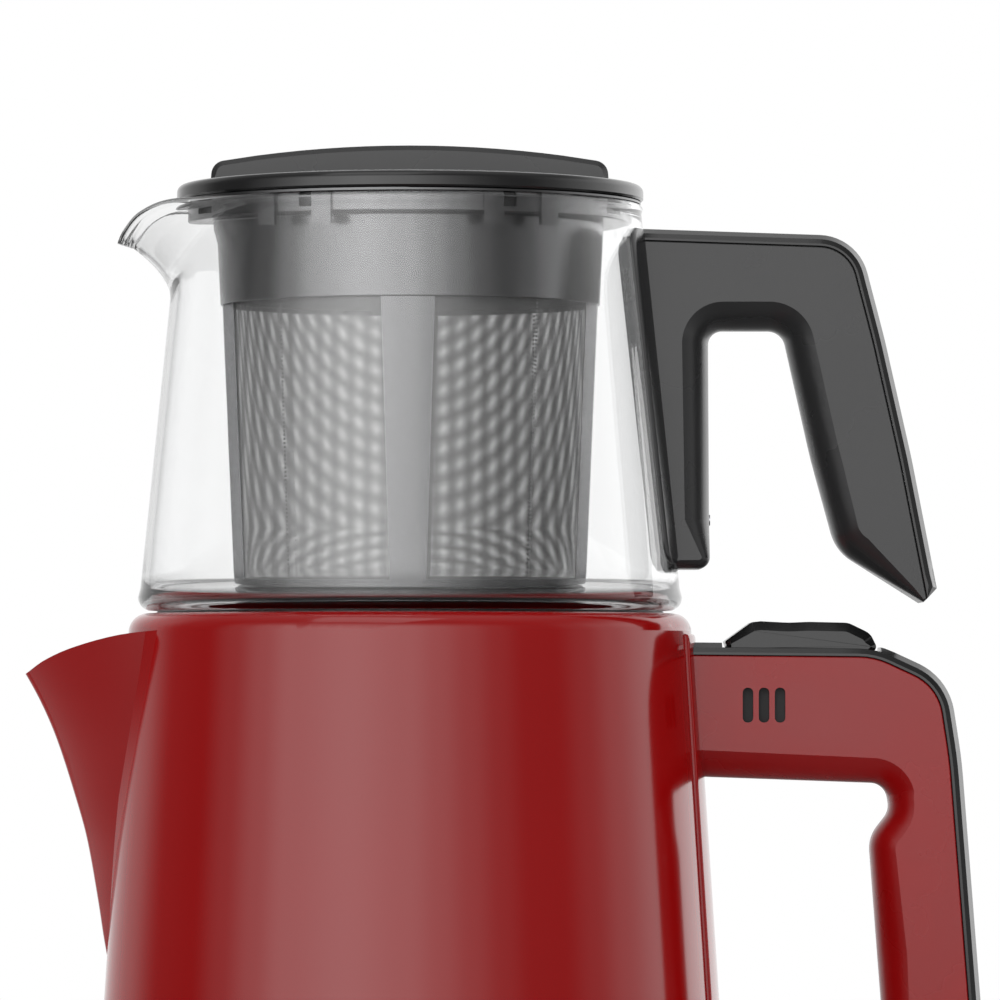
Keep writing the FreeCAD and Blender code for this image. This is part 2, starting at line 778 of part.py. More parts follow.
def handle_block(outer, inner, half, fillet, root_x):
    """Grip with soft edges round its opening."""
    slab = side_slab(tuple(outer) + tuple(inner), half, TOP)
    soft = []
    for edge in slab.Edges:
        around = edge.BoundBox
        if around.YLength > 1e-3 or around.XMin < root_x:
            continue
        centre = edge.CenterOfMass
        if near_path(centre.x, centre.z - TOP, inner):
            soft.append(edge)
    return slab.makeFillet(fillet, soft)


def near_path(x, z, points):
    """True where a point lies on the open path, allowing for its corner arcs."""
    best = 1e9
    for a, b in zip(points, points[1:]):
        dx = b[0] - a[0]
        dz = b[1] - a[1]
        t = ((x - a[0]) * dx + (z - a[1]) * dz) / (dx * dx + dz * dz)
        t = min(max(t, 0), 1)
        best = min(best, math.hypot(a[0] + t * dx - x, a[1] + t * dz - z))
    return best < NEAR


def inside_path(outer, thickness, half, lift):
    """Block on the inner side of an outline that is moved inwards."""
    corners = offset_path(outer, thickness)
    corners[0] = (corners[0][0] - 1, corners[0][1], 0)
    (x0, z0), (x1, z1) = corners[-2][:2], corners[-1][:2]
    reach = 1 + 2 * half / math.hypot(x1 - x0, z1 - z0)
    corners[-1] = (x0 + (x1 - x0) * reach, z0 + (z1 - z0) * reach, 0)
    corners.append((corners[0][0], corners[-1][1] - half, 0))
    return side_slab(corners, half, lift)


def glass_solid(extra=0.0):
    """Solid that fills the glass cone, made larger by an offset."""
    return Part.makeCone(
        glass_r(0) + extra, glass_r(GLASS_H + 10) + extra, GLASS_H + 10, V(0, 0, GLASS_Z)
    )


def cone_between(offset, z0, z1):
    """Solid cone inside the glass's outer wall, between two heights."""
    return Part.makeCone(glass_r(z0) - offset, glass_r(z1) - offset, z1 - z0, V(0, 0, z0))


def round_bottom(solid, r):
    """The same solid with its lowest circular edge rounded."""
    low = solid.BoundBox.ZMin
    edges = [edge for edge in solid.Edges if edge.BoundBox.ZMax < low + 0.01]
    return solid.makeFillet(r, edges)


def teapot_glass():
    outer = round_bottom(cone_between(0, 0, GLASS_H), GLASS_CORNER_R)
    inner = round_bottom(cone_between(GLASS_WALL, GLASS_FLOOR, GLASS_H + 1), GLASS_INNER_CORNER_R)
    rim_r = glass_r(GLASS_H)
    bead = Part.makeTorus(rim_r - BEAD_R + BEAD_OUT, BEAD_R, V(0, 0, GLASS_H - BEAD_R))
    lip_outer = spout_block(LIP_LEVELS, LIP_NOSE_R, LIP_ROOT_X, LIP_ROOT_HALF)
    lip_inner = spout_block(LIP_LEVELS, LIP_NOSE_R, LIP_ROOT_X, LIP_ROOT_HALF, LIP_WALL)
    top = above_edge(LIP_EDGE, 0)
    below = cylinder(FAR, 0, GLASS_H)
    outer = outer.fuse(bead).fuse(lip_outer.cut(top).common(below))
    glass = outer.cut(inner).cut(lip_inner.common(cylinder(FAR, 0, GLASS_H + 1)))
    glass = max(glass.Solids, key=lambda solid: solid.Volume)
    glass.translate(V(0, 0, GLASS_Z))
    return glass


def teapot_saddle():
    """Curved plate against the glass, which carries the grip."""
    plate = glass_solid(SADDLE_T).cut(glass_solid(GAP / 2))
    block = plate.common(box(0, FAR, -SADDLE_HALF, SADDLE_HALF, TOP + SADDLE_LOW, TOP + SADDLE_TOP))
    for z in TEA_SCREW_Z:
        block = block.cut(peg(SCREW_R + FIT, 0, FAR, TOP + z))
    return block


def teapot_handle_screws():
    """Screws that hold the grip to the saddle."""
    screws = []
    for z in TEA_SCREW_Z:
        start = glass_r(z - COLLAR_RISE) + TEA_SCREW_START
        screws.append(peg(SCREW_R, start, start + TEA_SCREW_L, TOP + z))
    return Part.makeCompound(screws)


def tea_grip():
    return handle_block(TEA_OUTER, TEA_INNER, TEA_GRIP_HALF, TEA_FILLET, TEA_SOFT_X)


def tea_core():
    """Block that holds all of the teapot's grip inside its cover."""
    return inside_path(TEA_OUTER, TEA_COVER_T, 3 * TEA_GRIP_HALF, TOP)


def teapot_handle():
    grip = tea_grip().common(tea_core())
    grip = grip.cut(glass_solid(SADDLE_T))
    for z in TEA_SCREW_Z:
        start = glass_r(z - COLLAR_RISE)
        grip = grip.cut(peg(SCREW_R + FIT, start, start + TEA_SCREW_START + TEA_SCREW_L + 0.2, TOP + z))
    return grip


def teapot_handle_cover():
    cover = tea_grip().cut(tea_core()).cut(glass_solid(SADDLE_T))
    return max(cover.Solids, key=lambda solid: solid.Volume)


def strainer_r(z):
    """Outer radius of the strainer's cage at a height above the glass underside."""
    share = (z - CAGE_Z) / (BAND_Z - CAGE_Z)
    return CAGE_LOW_R + (BAND_LOW_R - CAGE_STEP - CAGE_LOW_R) * share


def strainer_frame():
    top = GLASS_H
    z_floor = BAND_TOP_Z
    rim = turned((
        (FLANGE_R, top, 0),
        (FLANGE_R, top + FLANGE_T, 0.3),
        (COLLAR_WALL_R - COLLAR_WALL_T, top + FLANGE_T, 0),
        (COLLAR_WALL_R - COLLAR_WALL_T, z_floor, 0),
        (BAND_TOP_R - BAND_T, z_floor, 0.5),
        (BAND_LOW_R - BAND_T, BAND_Z, 0),
        (BAND_LOW_R, BAND_Z, 0.4),
        (BAND_TOP_R, z_floor - COLLAR_WALL_T, 0.5),
        (COLLAR_WALL_R, z_floor - COLLAR_WALL_T, 0.4),
        (COLLAR_WALL_R, top, 0),
    ))
    low_r = strainer_r(CAGE_Z + CAGE_RING_H)
    foot = turned((
        (CAGE_LOW_R, CAGE_Z, 0.4),
        (low_r, CAGE_Z + CAGE_RING_H, 0),
        (low_r - BAR_T, CAGE_Z + CAGE_RING_H, 0),
        (low_r - BAR_T - CAGE_LIP, CAGE_Z + 1.2, 0),
        (low_r - BAR_T - CAGE_LIP, CAGE_Z, 0),
    ))
    cage = turned((
        (strainer_r(CAGE_Z + 1), CAGE_Z + 1, 0),
        (strainer_r(BAND_Z + 1), BAND_Z + 1, 0),
        (strainer_r(BAND_Z + 1) - BAR_T, BAND_Z + 1, 0),
        (strainer_r(CAGE_Z + 1) - BAR_T, CAGE_Z + 1, 0),
    ))
    bars = []
    for angle in (0, 90, 180, 270):
        mask = tapered_block(0, FAR, CAGE_Z, BAND_Z + BAR_LAP, BAR_LOW / 2, BAR_TOP / 2)
        mask.rotate(V(0, 0, 0), UP, angle)
        bars.append(cage.common(mask))
    frame = rim.fuse([foot] + bars)
    slots = []
    for angle in NOTCH_ANGLES:
        slot = box(BAND_TOP_R, FLANGE_R, -NOTCH_W / 2, NOTCH_W / 2, z_floor + 0.2, top - 1.2)
        slot.rotate(V(0, 0, 0), UP, angle)
        slots.append(slot)
    frame = frame.cut(slots)
    frame.translate(V(0, 0, GLASS_Z))
    return frame.removeSplitter()


def strainer_mesh():
    """Thin gauze cone on the inside of the bars."""
    z0 = CAGE_Z + CAGE_RING_H
    z1 = BAND_Z + BAR_LAP
    top_r = strainer_r(z1) - BAR_T
    low_r = strainer_r(z0) - BAR_T
    mesh = turned(((low_r, z0, 0), (top_r, z1, 0), (top_r - MESH_T, z1, 0), (low_r - MESH_T, z0, 0)))
    mesh.translate(V(0, 0, GLASS_Z))
    return mesh


def strainer_floor_mesh():
    z0 = CAGE_Z + 0.5
    r = strainer_r(CAGE_Z + CAGE_RING_H) - BAR_T - CAGE_LIP - FIT
    disc = cylinder(r, z0, z0 + MESH_T)
    disc.translate(V(0, 0, GLASS_Z))
    return disc


def lid_cover():
    """Domed disc with a long arched grip bar across it."""
    z0 = GLASS_H + FLANGE_T
    z1 = z0 + LID_RIM_T
    top = z0 + GRIP_RISE
    dome_r = (LID_R ** 2 + LID_DOME ** 2) / (2 * LID_DOME)
    disc = turned((
        (0, z0, 0),
        (LID_R, z0, 0.6),
        (LID_R, z1, LID_EDGE_R),
        (0, z1, 0),
    ))
    dome_edge = cylinder(LID_R - LID_EDGE_R - 0.4, z1 - 1, top)
    dome = Part.makeSphere(dome_r, V(0, 0, z1 + LID_DOME - dome_r)).common(dome_edge)
    bar = box(-GRIP_HALF, GRIP_HALF, -GRIP_W / 2, GRIP_W / 2, z1 - 1, top + 1)
    bar = bar.common(rod(GRIP_ARC_R, -GRIP_W, GRIP_W, 0, top - GRIP_ARC_R))
    ends = [e for e in bar.Edges if e.BoundBox.YLength > GRIP_W - 1 and e.BoundBox.ZMin > z1]
    bar = bar.makeFillet(GRIP_END_R, ends)
    sides = [e for e in bar.Edges if e.BoundBox.YLength < 0.01 and e.BoundBox.ZMax > z1]
    sides = [e for e in sides if e.BoundBox.ZMin > z1 - 0.99]
    bar = bar.makeFillet(GRIP_BEVEL, sides)
    lid = disc.fuse([dome, bar])
    lid.translate(V(0, 0, GLASS_Z))
    return lid


def lid_inner():
    """Ring under the lid that drops into the strainer's collar."""
    z1 = GLASS_H + FLANGE_T
    ring_shape = ring(LID_SKIRT_R - LID_SKIRT_T, LID_SKIRT_R, z1 - LID_SKIRT_H, z1)
    slots = []
    for angle in range(0, 360, 45):
        low = z1 - LID_SKIRT_H
        slot = box(0, LID_R, -LID_SLOT_HALF, LID_SLOT_HALF, low - 1, low + LID_SLOT_H)
        slot.rotate(V(0, 0, 0), UP, angle)
        slots.append(slot)
    ring_shape = ring_shape.cut(slots)
    ring_shape.translate(V(0, 0, GLASS_Z))
    return ring_shape


def lid_gasket():
    z1 = GLASS_H + FLANGE_T
    out = COLLAR_WALL_R - COLLAR_WALL_T - GAP
    gasket = ring(LID_SKIRT_R, out, z1 - GASKET_H, z1)
    gasket.translate(V(0, 0, GLASS_Z))
    return gasket


def kettle_grip():
    return handle_block(KET_OUTER, KET_INNER, GRIP_HALF_W, KET_FILLET, KET_SOFT_X)


def grip_parts():
    """Core and strip of the kettle's grip, cut to the panel."""
    block = kettle_grip()
    region = inside_path(KET_OUTER, STRIP_T, 3 * GRIP_HALF_W, TOP)
    behind = wall_cone(-PANEL_T)
    core = block.common(region).cut(behind)
    strip = block.cut(region).cut(behind)
    core = max(core.Solids, key=lambda solid: solid.CenterOfMass.x)
    strip = max(strip.Solids, key=lambda solid: solid.CenterOfMass.x)
    return core, strip


def grip_hollow():
    """Cutter for the hollow in the grip's root."""
    half = GRIP_HALF_W - GRIP_WALL
    return box(HOLLOW_X[0], HOLLOW_X[1], -half, half, TOP + HOLLOW_Z[0], TOP + HOLLOW_Z[1])


def rocker_well():
    """Pocket for the rocker's cap in the strip, with an opening for its stem."""
    x0 = ROCKER_X - ROCKER_STEM - 1.2
    x1 = ROCKER_X + ROCKER_STEM + 1.2
    y = ROCKER_STEM_W + 0.6
    half = ROCKER_HALF + POCKET_GAP
    side = ROCKER_HALF_W + POCKET_GAP
    low = TOP + ROCKER_LOW - ROCKER_POCKET
    pocket = box(ROCKER_X - half, ROCKER_X + half, -side, side, low, TOP)
    return box(x0, x1, -y, y, TOP + WELL_LOW, TOP).fuse(pocket).removeSplitter()


def vents():
    shapes = []
    for x in VENT_X:
        low = TOP + VENT_Z - VENT_H / 2
        slot = box(x - VENT_W / 2, x + VENT_W / 2, -FAR, FAR, low, low + VENT_H)
        slot = slot.makeFillet(VENT_CORNER_R, [e for e in slot.Edges if e.BoundBox.YLength > FAR])
        shapes.append(slot)
    return shapes


def handle_shell(side):
    """One half of the red grip; side is -1 in front and +1 behind."""
    core, _ = grip_parts()
    half = core.cut(grip_hollow()).cut(rocker_well())
    half = half.common(box(0, 2 * FAR, min(0, side * FAR), max(0, side * FAR), 0, TOP))
    half = half.cut(vents())
    half = half.cut(rod(PIN_R + FIT, -pin_half() - SKIN, pin_half() + SKIN, ROCKER_X, TOP + PIN_Z))
    for x, z in HANDLE_SCREWS:
        bore = rod(SCREW_R + FIT, -SCREW_REACH - 1, SCREW_SEAT, x, TOP + z)
        sink = rod(SCREW_HEAD_R + GAP, SCREW_SEAT, FAR, x, TOP + z)
        half = half.cut([bore, sink])
    return max(half.Solids, key=lambda solid: solid.Volume)


def handle_strip():
    _, strip = grip_parts()
    strip = strip.cut(rocker_well())
    return max(strip.Solids, key=lambda solid: solid.Volume)


def handle_bracket():
    """Steel bracket inside the grip's root, fixed to the shell."""
    x0, x1 = BRACKET_X
    z0 = TOP + BRACKET_Z[0]
    z1 = TOP + BRACKET_Z[1]
    half = GRIP_HALF_W - GRIP_WALL
    middle = (x0 + x1) / 2
    foot = box(x0, middle + 0.5, -BRACKET_FOOT_HALF, BRACKET_FOOT_HALF, z0, z1)
    plate = box(middle - 1, middle + 0.5, -half, half, z0, z1)
    arm = box(middle, x1, -half, BRACKET_T - half, z0, z1)
    other = box(middle, x1, half - BRACKET_T, half, z0, z1)
    bracket = foot.fuse([arm, other, plate]).cut(wall_cone(-PANEL_T)).cut(wire_slot())
    for x, z in HANDLE_SCREWS[:2]:
        bracket = bracket.cut(rod(SCREW_R + FIT, -FAR, FAR, x, TOP + z))
    return bracket.removeSplitter()


def handle_screws():
    screws = []
    outer = SCREW_SEAT + SCREW_HEAD_T
    for x, z in HANDLE_SCREWS:
        shaft = rod(SCREW_R, -SCREW_REACH, SCREW_SEAT, x, TOP + z)
        head = rod(SCREW_HEAD_R, SCREW_SEAT, outer, x, TOP + z)
        for wide, deep in ((CROSS_HALF, CROSS_WIDE), (CROSS_WIDE, CROSS_HALF)):
            low = TOP + z - deep
            head = head.cut(box(x - wide, x + wide, outer - CROSS_DEEP, outer + 1, low, low + 2 * deep))
        screws.append(shaft.fuse(head))
    return Part.makeCompound(screws)


def steam_switch():
    """Switch block with its bimetal disc, in the hollow behind the vents."""
    x0, x1 = SWITCH_X
    z0 = TOP + SWITCH_Z[0]
    z1 = TOP + SWITCH_Z[1]
    wall = GRIP_HALF_W - GRIP_WALL
    block = box(x0, x1, -SWITCH_HALF, SWITCH_HALF, z0, z1)
    slot_low = TOP + LEVER_LOW - 3
    block = block.cut(box(ROCKER_X - SWITCH_SLOT, ROCKER_X + SWITCH_SLOT, -3, 3, slot_low, z1 + 1))
    disc = rod(DISC_R, -SWITCH_HALF - DISC_T, -SWITCH_HALF, DISC_X, TOP + DISC_Z)
    lugs = box(x0, x0 + 5, -wall, wall, z0, z0 + 2)
    return block.fuse([disc, lugs]).removeSplitter()


def pin_half():
    """Half the length of the rocker's pin."""
    return ROCKER_STEM_W + PIN_HOLD


def rocker_pin():
    return rod(PIN_R, -pin_half(), pin_half(), ROCKER_X, TOP + PIN_Z)


def rocker():
    """Thumb rocker with bevelled ends and a stem round the pin."""
    x0 = ROCKER_X - ROCKER_HALF
    x1 = ROCKER_X + ROCKER_HALF
    points = (
        (x0, ROCKER_LOW, 0.5),
        (x0 + 7.4, ROCKER_TOP, 2.0),
        (x1 - 5.2, ROCKER_TOP, 3.0),
        (x1, ROCKER_LOW, 1.5),
    )
    across = (
        (-ROCKER_HALF_W, ROCKER_LOW, 0.5),
        (-ROCKER_HALF_W, ROCKER_TOP - ROCKER_BEVEL, 0.8),
        (ROCKER_BEVEL - ROCKER_HALF_W, ROCKER_TOP, 1.2),
        (ROCKER_HALF_W - ROCKER_BEVEL, ROCKER_TOP, 1.2),
        (ROCKER_HALF_W, ROCKER_TOP - ROCKER_BEVEL, 0.8),
        (ROCKER_HALF_W, ROCKER_LOW, 0.5),
    )
    cap = side_slab(points, ROCKER_HALF_W, TOP).common(end_slab(across, x0 - 1, x1 + 1, TOP))
    left = ROCKER_X - ROCKER_STEM
    right = ROCKER_X + ROCKER_STEM
    stem = side_slab((
        (left, ROCKER_LOW + 1, 0),
        (right, ROCKER_LOW + 1, 0),
        (right, STEM_LOW + STEM_CUT_H, 0),
        (right - STEM_CUT, STEM_LOW, 0),
        (left + STEM_CUT, STEM_LOW, 0),
        (left, STEM_LOW + STEM_CUT_H, 0),
    ), ROCKER_STEM_W, TOP)
    lever_low = TOP + LEVER_LOW
    lever = box(ROCKER_X - LEVER_HALF, ROCKER_X + LEVER_HALF, -2, 2, lever_low, TOP + STEM_LOW + 1)
    body = cap.fuse([stem, lever])
    body = body.cut(rod(PIN_R + FIT, -FAR, FAR, ROCKER_X, TOP + PIN_Z))
    return body.removeSplitter()


def base_cover():
    """Upper half of the power base, with the seat and a low rim."""
    z0 = FOOT_RING_H + BASE_T
    z1 = SEAT_Z + BASE_RIM_H
    cover = turned((
        (BASE_R, z0, 0),
        (BASE_TOP_R, z1, BASE_EDGE_R),
        (BASE_RIM_BORE, z1, 0.6),
        (BASE_RIM_BORE, SEAT_Z, 0),
        (SOCKET_R + FIT, SEAT_Z, 0),
        (SOCKET_R + FIT, SEAT_Z - BASE_T, 0),
        (BASE_TOP_R - BASE_T, SEAT_Z - BASE_T, 1.5),
        (BASE_R - BASE_T, z0, 0),
    ))
    for x, y in BASE_SCREWS:
        cover = cover.fuse(cylinder(BASE_POST_R, z0 + BASE_POST_H, SEAT_Z - BASE_T + SKIN, x, y))
    for x, y in BASE_SCREWS:
        cover = cover.cut(cylinder(SCREW_R + FIT, z0, SEAT_Z - BASE_T - 2, x, y))
    return cover.cut(rod(CORD_HOLE_R, 0, FAR, 0, CORD_Z)).removeSplitter()


def base_bottom():
    """Bottom plate with its screw posts and the pillar under the socket."""
    z0 = FOOT_RING_H - 0.6
    z1 = FOOT_RING_H + BASE_T
    plate = cylinder(BASE_R - BOTTOM_INSET, z0, z1)
    plate = plate.makeChamfer(1.0, [e for e in plate.Edges if e.BoundBox.ZMax < z0 + 0.1])
    lip_r = BASE_R - BASE_T - 0.8
    plate = plate.fuse(ring(lip_r - BOTTOM_LIP_T, lip_r, z1 - SKIN, z1 + BOTTOM_LIP_H))
    plate = plate.cut(foot_ring())
    posts = [cylinder(BASE_POST_R, z1 - SKIN, z1 + BASE_POST_H, x, y) for x, y in BASE_SCREWS]
    plate = plate.fuse(posts)
    for x, y in BASE_SCREWS:
        plate = plate.cut(cylinder(SCREW_R + FIT, z0 - 1, SEAT_Z, x, y))
        plate = plate.cut(cylinder(SCREW_HEAD_R + GAP, z0 - 1, z0 + BASE_SINK, x, y))
    plate = plate.fuse(ring(PILLAR_R[0], PILLAR_R[1], z1 - SKIN, SOCKET_LOW))
    return plate.removeSplitter()


def base_socket():
    """Tower of the power socket with its ring groove and centre hole."""
    tower = turned((
        (0, SOCKET_LOW, 0),
        (SOCKET_R + SOCKET_FLANGE, SOCKET_LOW, 0),
        (SOCKET_R + SOCKET_FLANGE, SEAT_Z - BASE_T, 0),
        (SOCKET_R, SEAT_Z - BASE_T, 0),
        (SOCKET_R, SOCKET_TOP, 1.2),
        (0, SOCKET_TOP, 0),
    ))
    tower = tower.cut(ring(GROOVE_R[0], GROOVE_R[1], SOCKET_TOP - GROOVE_DEPTH, SOCKET_TOP + 1))
    return tower.cut(cylinder(CORE_R, SOCKET_TOP - GROOVE_DEPTH, SOCKET_TOP + 1))


def socket_contacts():
    """Sprung contacts in the groove and at the bottom of the centre hole."""
    z0 = SOCKET_TOP - GROOVE_DEPTH
    top = SOCKET_TOP - CONTACT_REACH - GAP
    return Part.makeCompound([
        ring(GROOVE_R[0] + 0.4, GROOVE_R[1] - 0.4, z0, top),
        cylinder(CORE_R - 0.4, z0, top),
    ])


def slip_ring():
    """Loose ring round the tower, on which the kettle turns."""
    return turned((
        (RING_R, SEAT_Z, 0.4),
        (RING_R + RING_T, SEAT_Z, 0.4),
        (RING_R + RING_T, SEAT_Z + RING_H, 0.6),
        (RING_R, SEAT_Z + RING_H, 0.4),
    ))


def foot_ring():
    """Soft ring in a groove of the bottom plate."""
    out = BASE_R - FOOT_RING_IN
    return ring(out - FOOT_RING_W, out, 0, FOOT_RING_H + FOOT_RING_SEAT)


def base_screws():
    z0 = FOOT_RING_H - 0.6
    return Part.makeCompound([screw(x, y, z0 + BASE_SINK, BASE_SCREW_L) for x, y in BASE_SCREWS])


def cord_inlet():
    """Bush in the back wall of the base, for the supply cord."""
    wall = base_r(CORD_Z + CORD_BUSH_R) - BASE_T - CORD_SEAT
    y0 = wall - CORD_BUSH_T
    bush = rod(CORD_BUSH_R, y0, wall, 0, CORD_Z)
    neck = rod(CORD_NECK_R, y0, y0 + CORD_NECK_L, 0, CORD_Z)
    return bush.fuse(neck).cut(rod(CORD_BORE_R, 0, FAR, 0, CORD_Z)).removeSplitter()


def terminal_block():
    """Block of three terminals on the bottom plate."""
    z0 = FOOT_RING_H + BASE_T
    length, depth, height = TERMINAL
    block = box(-length / 2, length / 2, TERMINAL_Y - depth / 2, TERMINAL_Y + depth / 2, z0, z0 + height)
    middle = z0 + height * 0.55
    holes = []
    for x in (-TERMINAL_PITCH, 0, TERMINAL_PITCH):
        holes.append(rod(2.0, 0, FAR, x, middle))
        holes.append(cylinder(1.6, middle, z0 + height + 1, x, TERMINAL_Y))
    return block.cut(holes)


PARTS = {
    "foot_ring": foot_ring,
    "base_bottom": base_bottom,
    "base_cover": base_cover,
    "base_screws": base_screws,
    "base_socket": base_socket,
    "socket_contacts": socket_contacts,
    "terminal_block": terminal_block,
    "cord_inlet": cord_inlet,
    "slip_ring": slip_ring,
    "kettle_foot": kettle_foot,
    "foot_screws": foot_screws,
    "kettle_connector": kettle_connector,
    "thermostat": thermostat,
    "heating_element": heating_element,
    "heat_plate": heat_plate,
    "kettle_floor": kettle_floor,
    "kettle_body": kettle_body,
    "kettle_spout": kettle_spout,
    "spout_filter": spout_filter,
    "kettle_collar": kettle_collar,
    "collar_seal": collar_seal,
    "duct_panel": duct_panel,
    "wire_duct": wire_duct,
    "handle_wires": handle_wires,
    "handle_bracket": handle_bracket,
    "handle_shell_front": lambda: handle_shell(-1),
    "handle_shell_rear": lambda: handle_shell(1),
    "handle_strip": handle_strip,
    "handle_screws": handle_screws,
    "steam_switch": steam_switch,
    "rocker_pin": rocker_pin,
    "rocker": rocker,
    "teapot_glass": teapot_glass,
    "teapot_saddle": teapot_saddle,
    "teapot_handle": teapot_handle,
    "teapot_handle_cover": teapot_handle_cover,
    "teapot_handle_screws": teapot_handle_screws,
    "strainer_frame": strainer_frame,
    "strainer_mesh": strainer_mesh,
    "strainer_floor_mesh": strainer_floor_mesh,
    "lid_cover": lid_cover,
    "lid_inner": lid_inner,
    "lid_gasket": lid_gasket,
}


def main():
    os.makedirs("parts", exist_ok=True)
    for name, make in PARTS.items():
        shape = make()
        solids = len(shape.Solids)
        print(name, "solids", solids, "volume", round(shape.Volume), "valid", shape.isValid())
        shape.exportStep("parts/%s.step" % name)


main()
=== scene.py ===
import json
import math

import bmesh
import bpy
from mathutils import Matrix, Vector


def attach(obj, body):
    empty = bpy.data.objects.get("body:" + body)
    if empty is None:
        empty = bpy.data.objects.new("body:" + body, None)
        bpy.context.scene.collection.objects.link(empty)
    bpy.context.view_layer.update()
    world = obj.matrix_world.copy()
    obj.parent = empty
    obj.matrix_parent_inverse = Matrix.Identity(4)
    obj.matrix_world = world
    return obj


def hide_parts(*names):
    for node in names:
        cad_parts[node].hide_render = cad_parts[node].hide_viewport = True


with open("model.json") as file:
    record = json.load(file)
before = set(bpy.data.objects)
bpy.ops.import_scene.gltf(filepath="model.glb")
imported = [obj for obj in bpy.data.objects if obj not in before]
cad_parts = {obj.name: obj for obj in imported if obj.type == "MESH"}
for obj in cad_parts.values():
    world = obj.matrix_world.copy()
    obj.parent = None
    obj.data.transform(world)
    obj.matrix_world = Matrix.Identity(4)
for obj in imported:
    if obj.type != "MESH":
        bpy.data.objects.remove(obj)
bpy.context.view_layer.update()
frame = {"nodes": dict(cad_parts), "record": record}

# Lengths of the object are millimetres here, and turn into metres when a mesh is made.
MM = 0.001

# Heights of the stack
TOP = 176.0             # top edge of the kettle
FOOT_TOP = 39.0         # where the red shell starts
GLASS_Z = 176.5         # underside of the glass
GLASS_H = 104.6
LID_Z = GLASS_Z + GLASS_H + 0.8

# Kettle shell: a cone that widens downwards
SHELL_R = 72.3
SHELL_SLOPE = 0.0655
SHOULDER = 4.9

# Raised panel behind the kettle's grip
PANEL_T = 0.9
PANEL_DROP = 5.2        # from the kettle's top edge to the panel's
PANEL_HALF = (18, 21.5)  # half width at its top and at its foot
PANEL_SINK = 0.3        # the border lies this far inside the shell
PANEL_RIM = 0.9         # width of the soft border
PANEL_STEPS = (0.0, 0.15, 0.4, PANEL_RIM)
PANEL_ENDS = (0.0, 0.3, 0.9)
PANEL_INNER = 3.0       # the even rows start this far from its ends

# Teapot glass
GLASS_R = 69.9
GLASS_SLOPE = 0.1018
GLASS_WALL = 1.9
GLASS_FLOOR = 2.5
GLASS_CORNER = 3.6
GLASS_BEAD = 0.6        # the rim is this much thicker than the wall
GLASS_RIM = 1.3         # height of the rim's round top
RIM_LEVEL = 0.2         # the rim's width is taken this far below its top
GLASS_FOOT_R = 3.0      # inside corner at the floor
GLASS_LEVELS = (6.0, 10.0, 20.0, 32.5, 45.0, 57.5, 70.0)
GLASS_UPPER = 76.0      # closer rows from here to the rim
GLASS_SHADE_HEIGHT = 4.5        # painted shade: the glass is darker up to this height
GLASS_FOOT_SHADE = 0.42  # brightness of the painted shade at the underside
# Painted shade on the glass: its colour by how squarely it faces the view, dark where it is seen edge on
GLASS_EDGE_SHADES = ((0.4, (0.99, 0.992, 0.992, 1)), (0.8, (0.84, 0.845, 0.85, 1)), (1.0, (0.06, 0.06, 0.065, 1)))
LIP_START = 80.0        # height where the lip leaves the cone
LIP_LOW = 88.0          # the rim lies above this height
LIP_OUT = 7.0           # the nose stands out this far after rising by its span
LIP_SPAN = 10.5
LIP_POWER = 1.82
LIP_THICK = 0.25        # extra wall at the nose, as a share
LIP_EDGE = ((-82, 91.3), (-75.6, 95.4), (-73.4, 98.2), (-69.3, 101.8), (-62, 104.3), (-50, 104.6))
NOSE_SOFT = math.radians(3.0)

# Kettle spout: depth below the top edge and reach of its nose
SPOUT_LEVELS = (
    (92, 77), (83.6, 78.6), (73.3, 80.2), (57.9, 83), (47.7, 85.8),
    (32.3, 90.8), (22, 95.3), (12, 101), (2, 107.5),
)
SPOUT_EDGE = ((-104, -18.6), (-98.9, -15.6), (-93.4, -12.1), (-85.5, -8.8), (-73.1, -5.6), (-60, -4.2))
SPOUT_NOSE_R = 4.0
SPOUT_NOSE_IN = 0.6     # share of the wall that the inside loses from its nose radius
SPOUT_ROOT_IN = 1.35    # share of the wall between its outside and inside at the root
SPOUT_SPREAD = 0.8      # rows lie closer together towards the cut edge
SPOUT_ROOT = (-60.0, 36.0)
SPOUT_T = 1.2
SPOUT_FOOT = 91.0       # depth of its lowest point below the top edge
SPOUT_SINK = 0.4        # it ends this far inside the shell
SPOUT_FLARE = 3.4       # flat weld strip between the spout and the shell
SPOUT_FLARE_FROM = 22.0  # the strip has its full width where a side is longer than this
SPOUT_BULGE = 0.0021    # the sides curve outwards by this share of their squared length

# Handle outlines seen from the side: x, height over the kettle's top edge, corner radius, edge radius
TEA_HALF = 12.9
TEA_COVER = 3.2
TEA_ROOT = 4.0          # the outlines start this far inside the glass
TEA_OUTER = (
    (66, 98.6, 0, 1),
    (114.8, 96.6, 13, 1),
    (121.6, 70.3, 150, 1),
    (128.5, 39.5, 150, 1),
    (134.9, 6.4, 0, 1),
)
TEA_INNER = (
    (131.3, 2.8, 0.9, 0.8),
    (109.5, 16.0, 12, 6.5),
    (103.0, 39.5, 150, 7),
    (95.6, 72.6, 4.5, 7),
    (76.6, 72.6, 3.6, 7),
    (76.8, 24.0, 60, 6.5),
    (76.8, 11.35, 3.0, 2.2),
    (69.6, 11.35, 0, 2.2),
)
KET_HALF = 12.5
KET_STRIP = 3.3
KET_ROOT = 6.0          # the outlines start this far inside the shell
HALVES_GAP = 0.04       # of each grip half from the middle
SHELL_OFF = -0.4        # the grip is cut off this far inside the shell
KET_OUTER = (
    (72.3, -7.4, 0, 1),
    (119.5, -7.9, 22, 1),
    (138.0, -16.5, 16, 1),
    (141.2, -37.4, 120, 1),
    (145.9, -98.7, 150, 1),
    (147.6, -127.5, 0, 1),
)
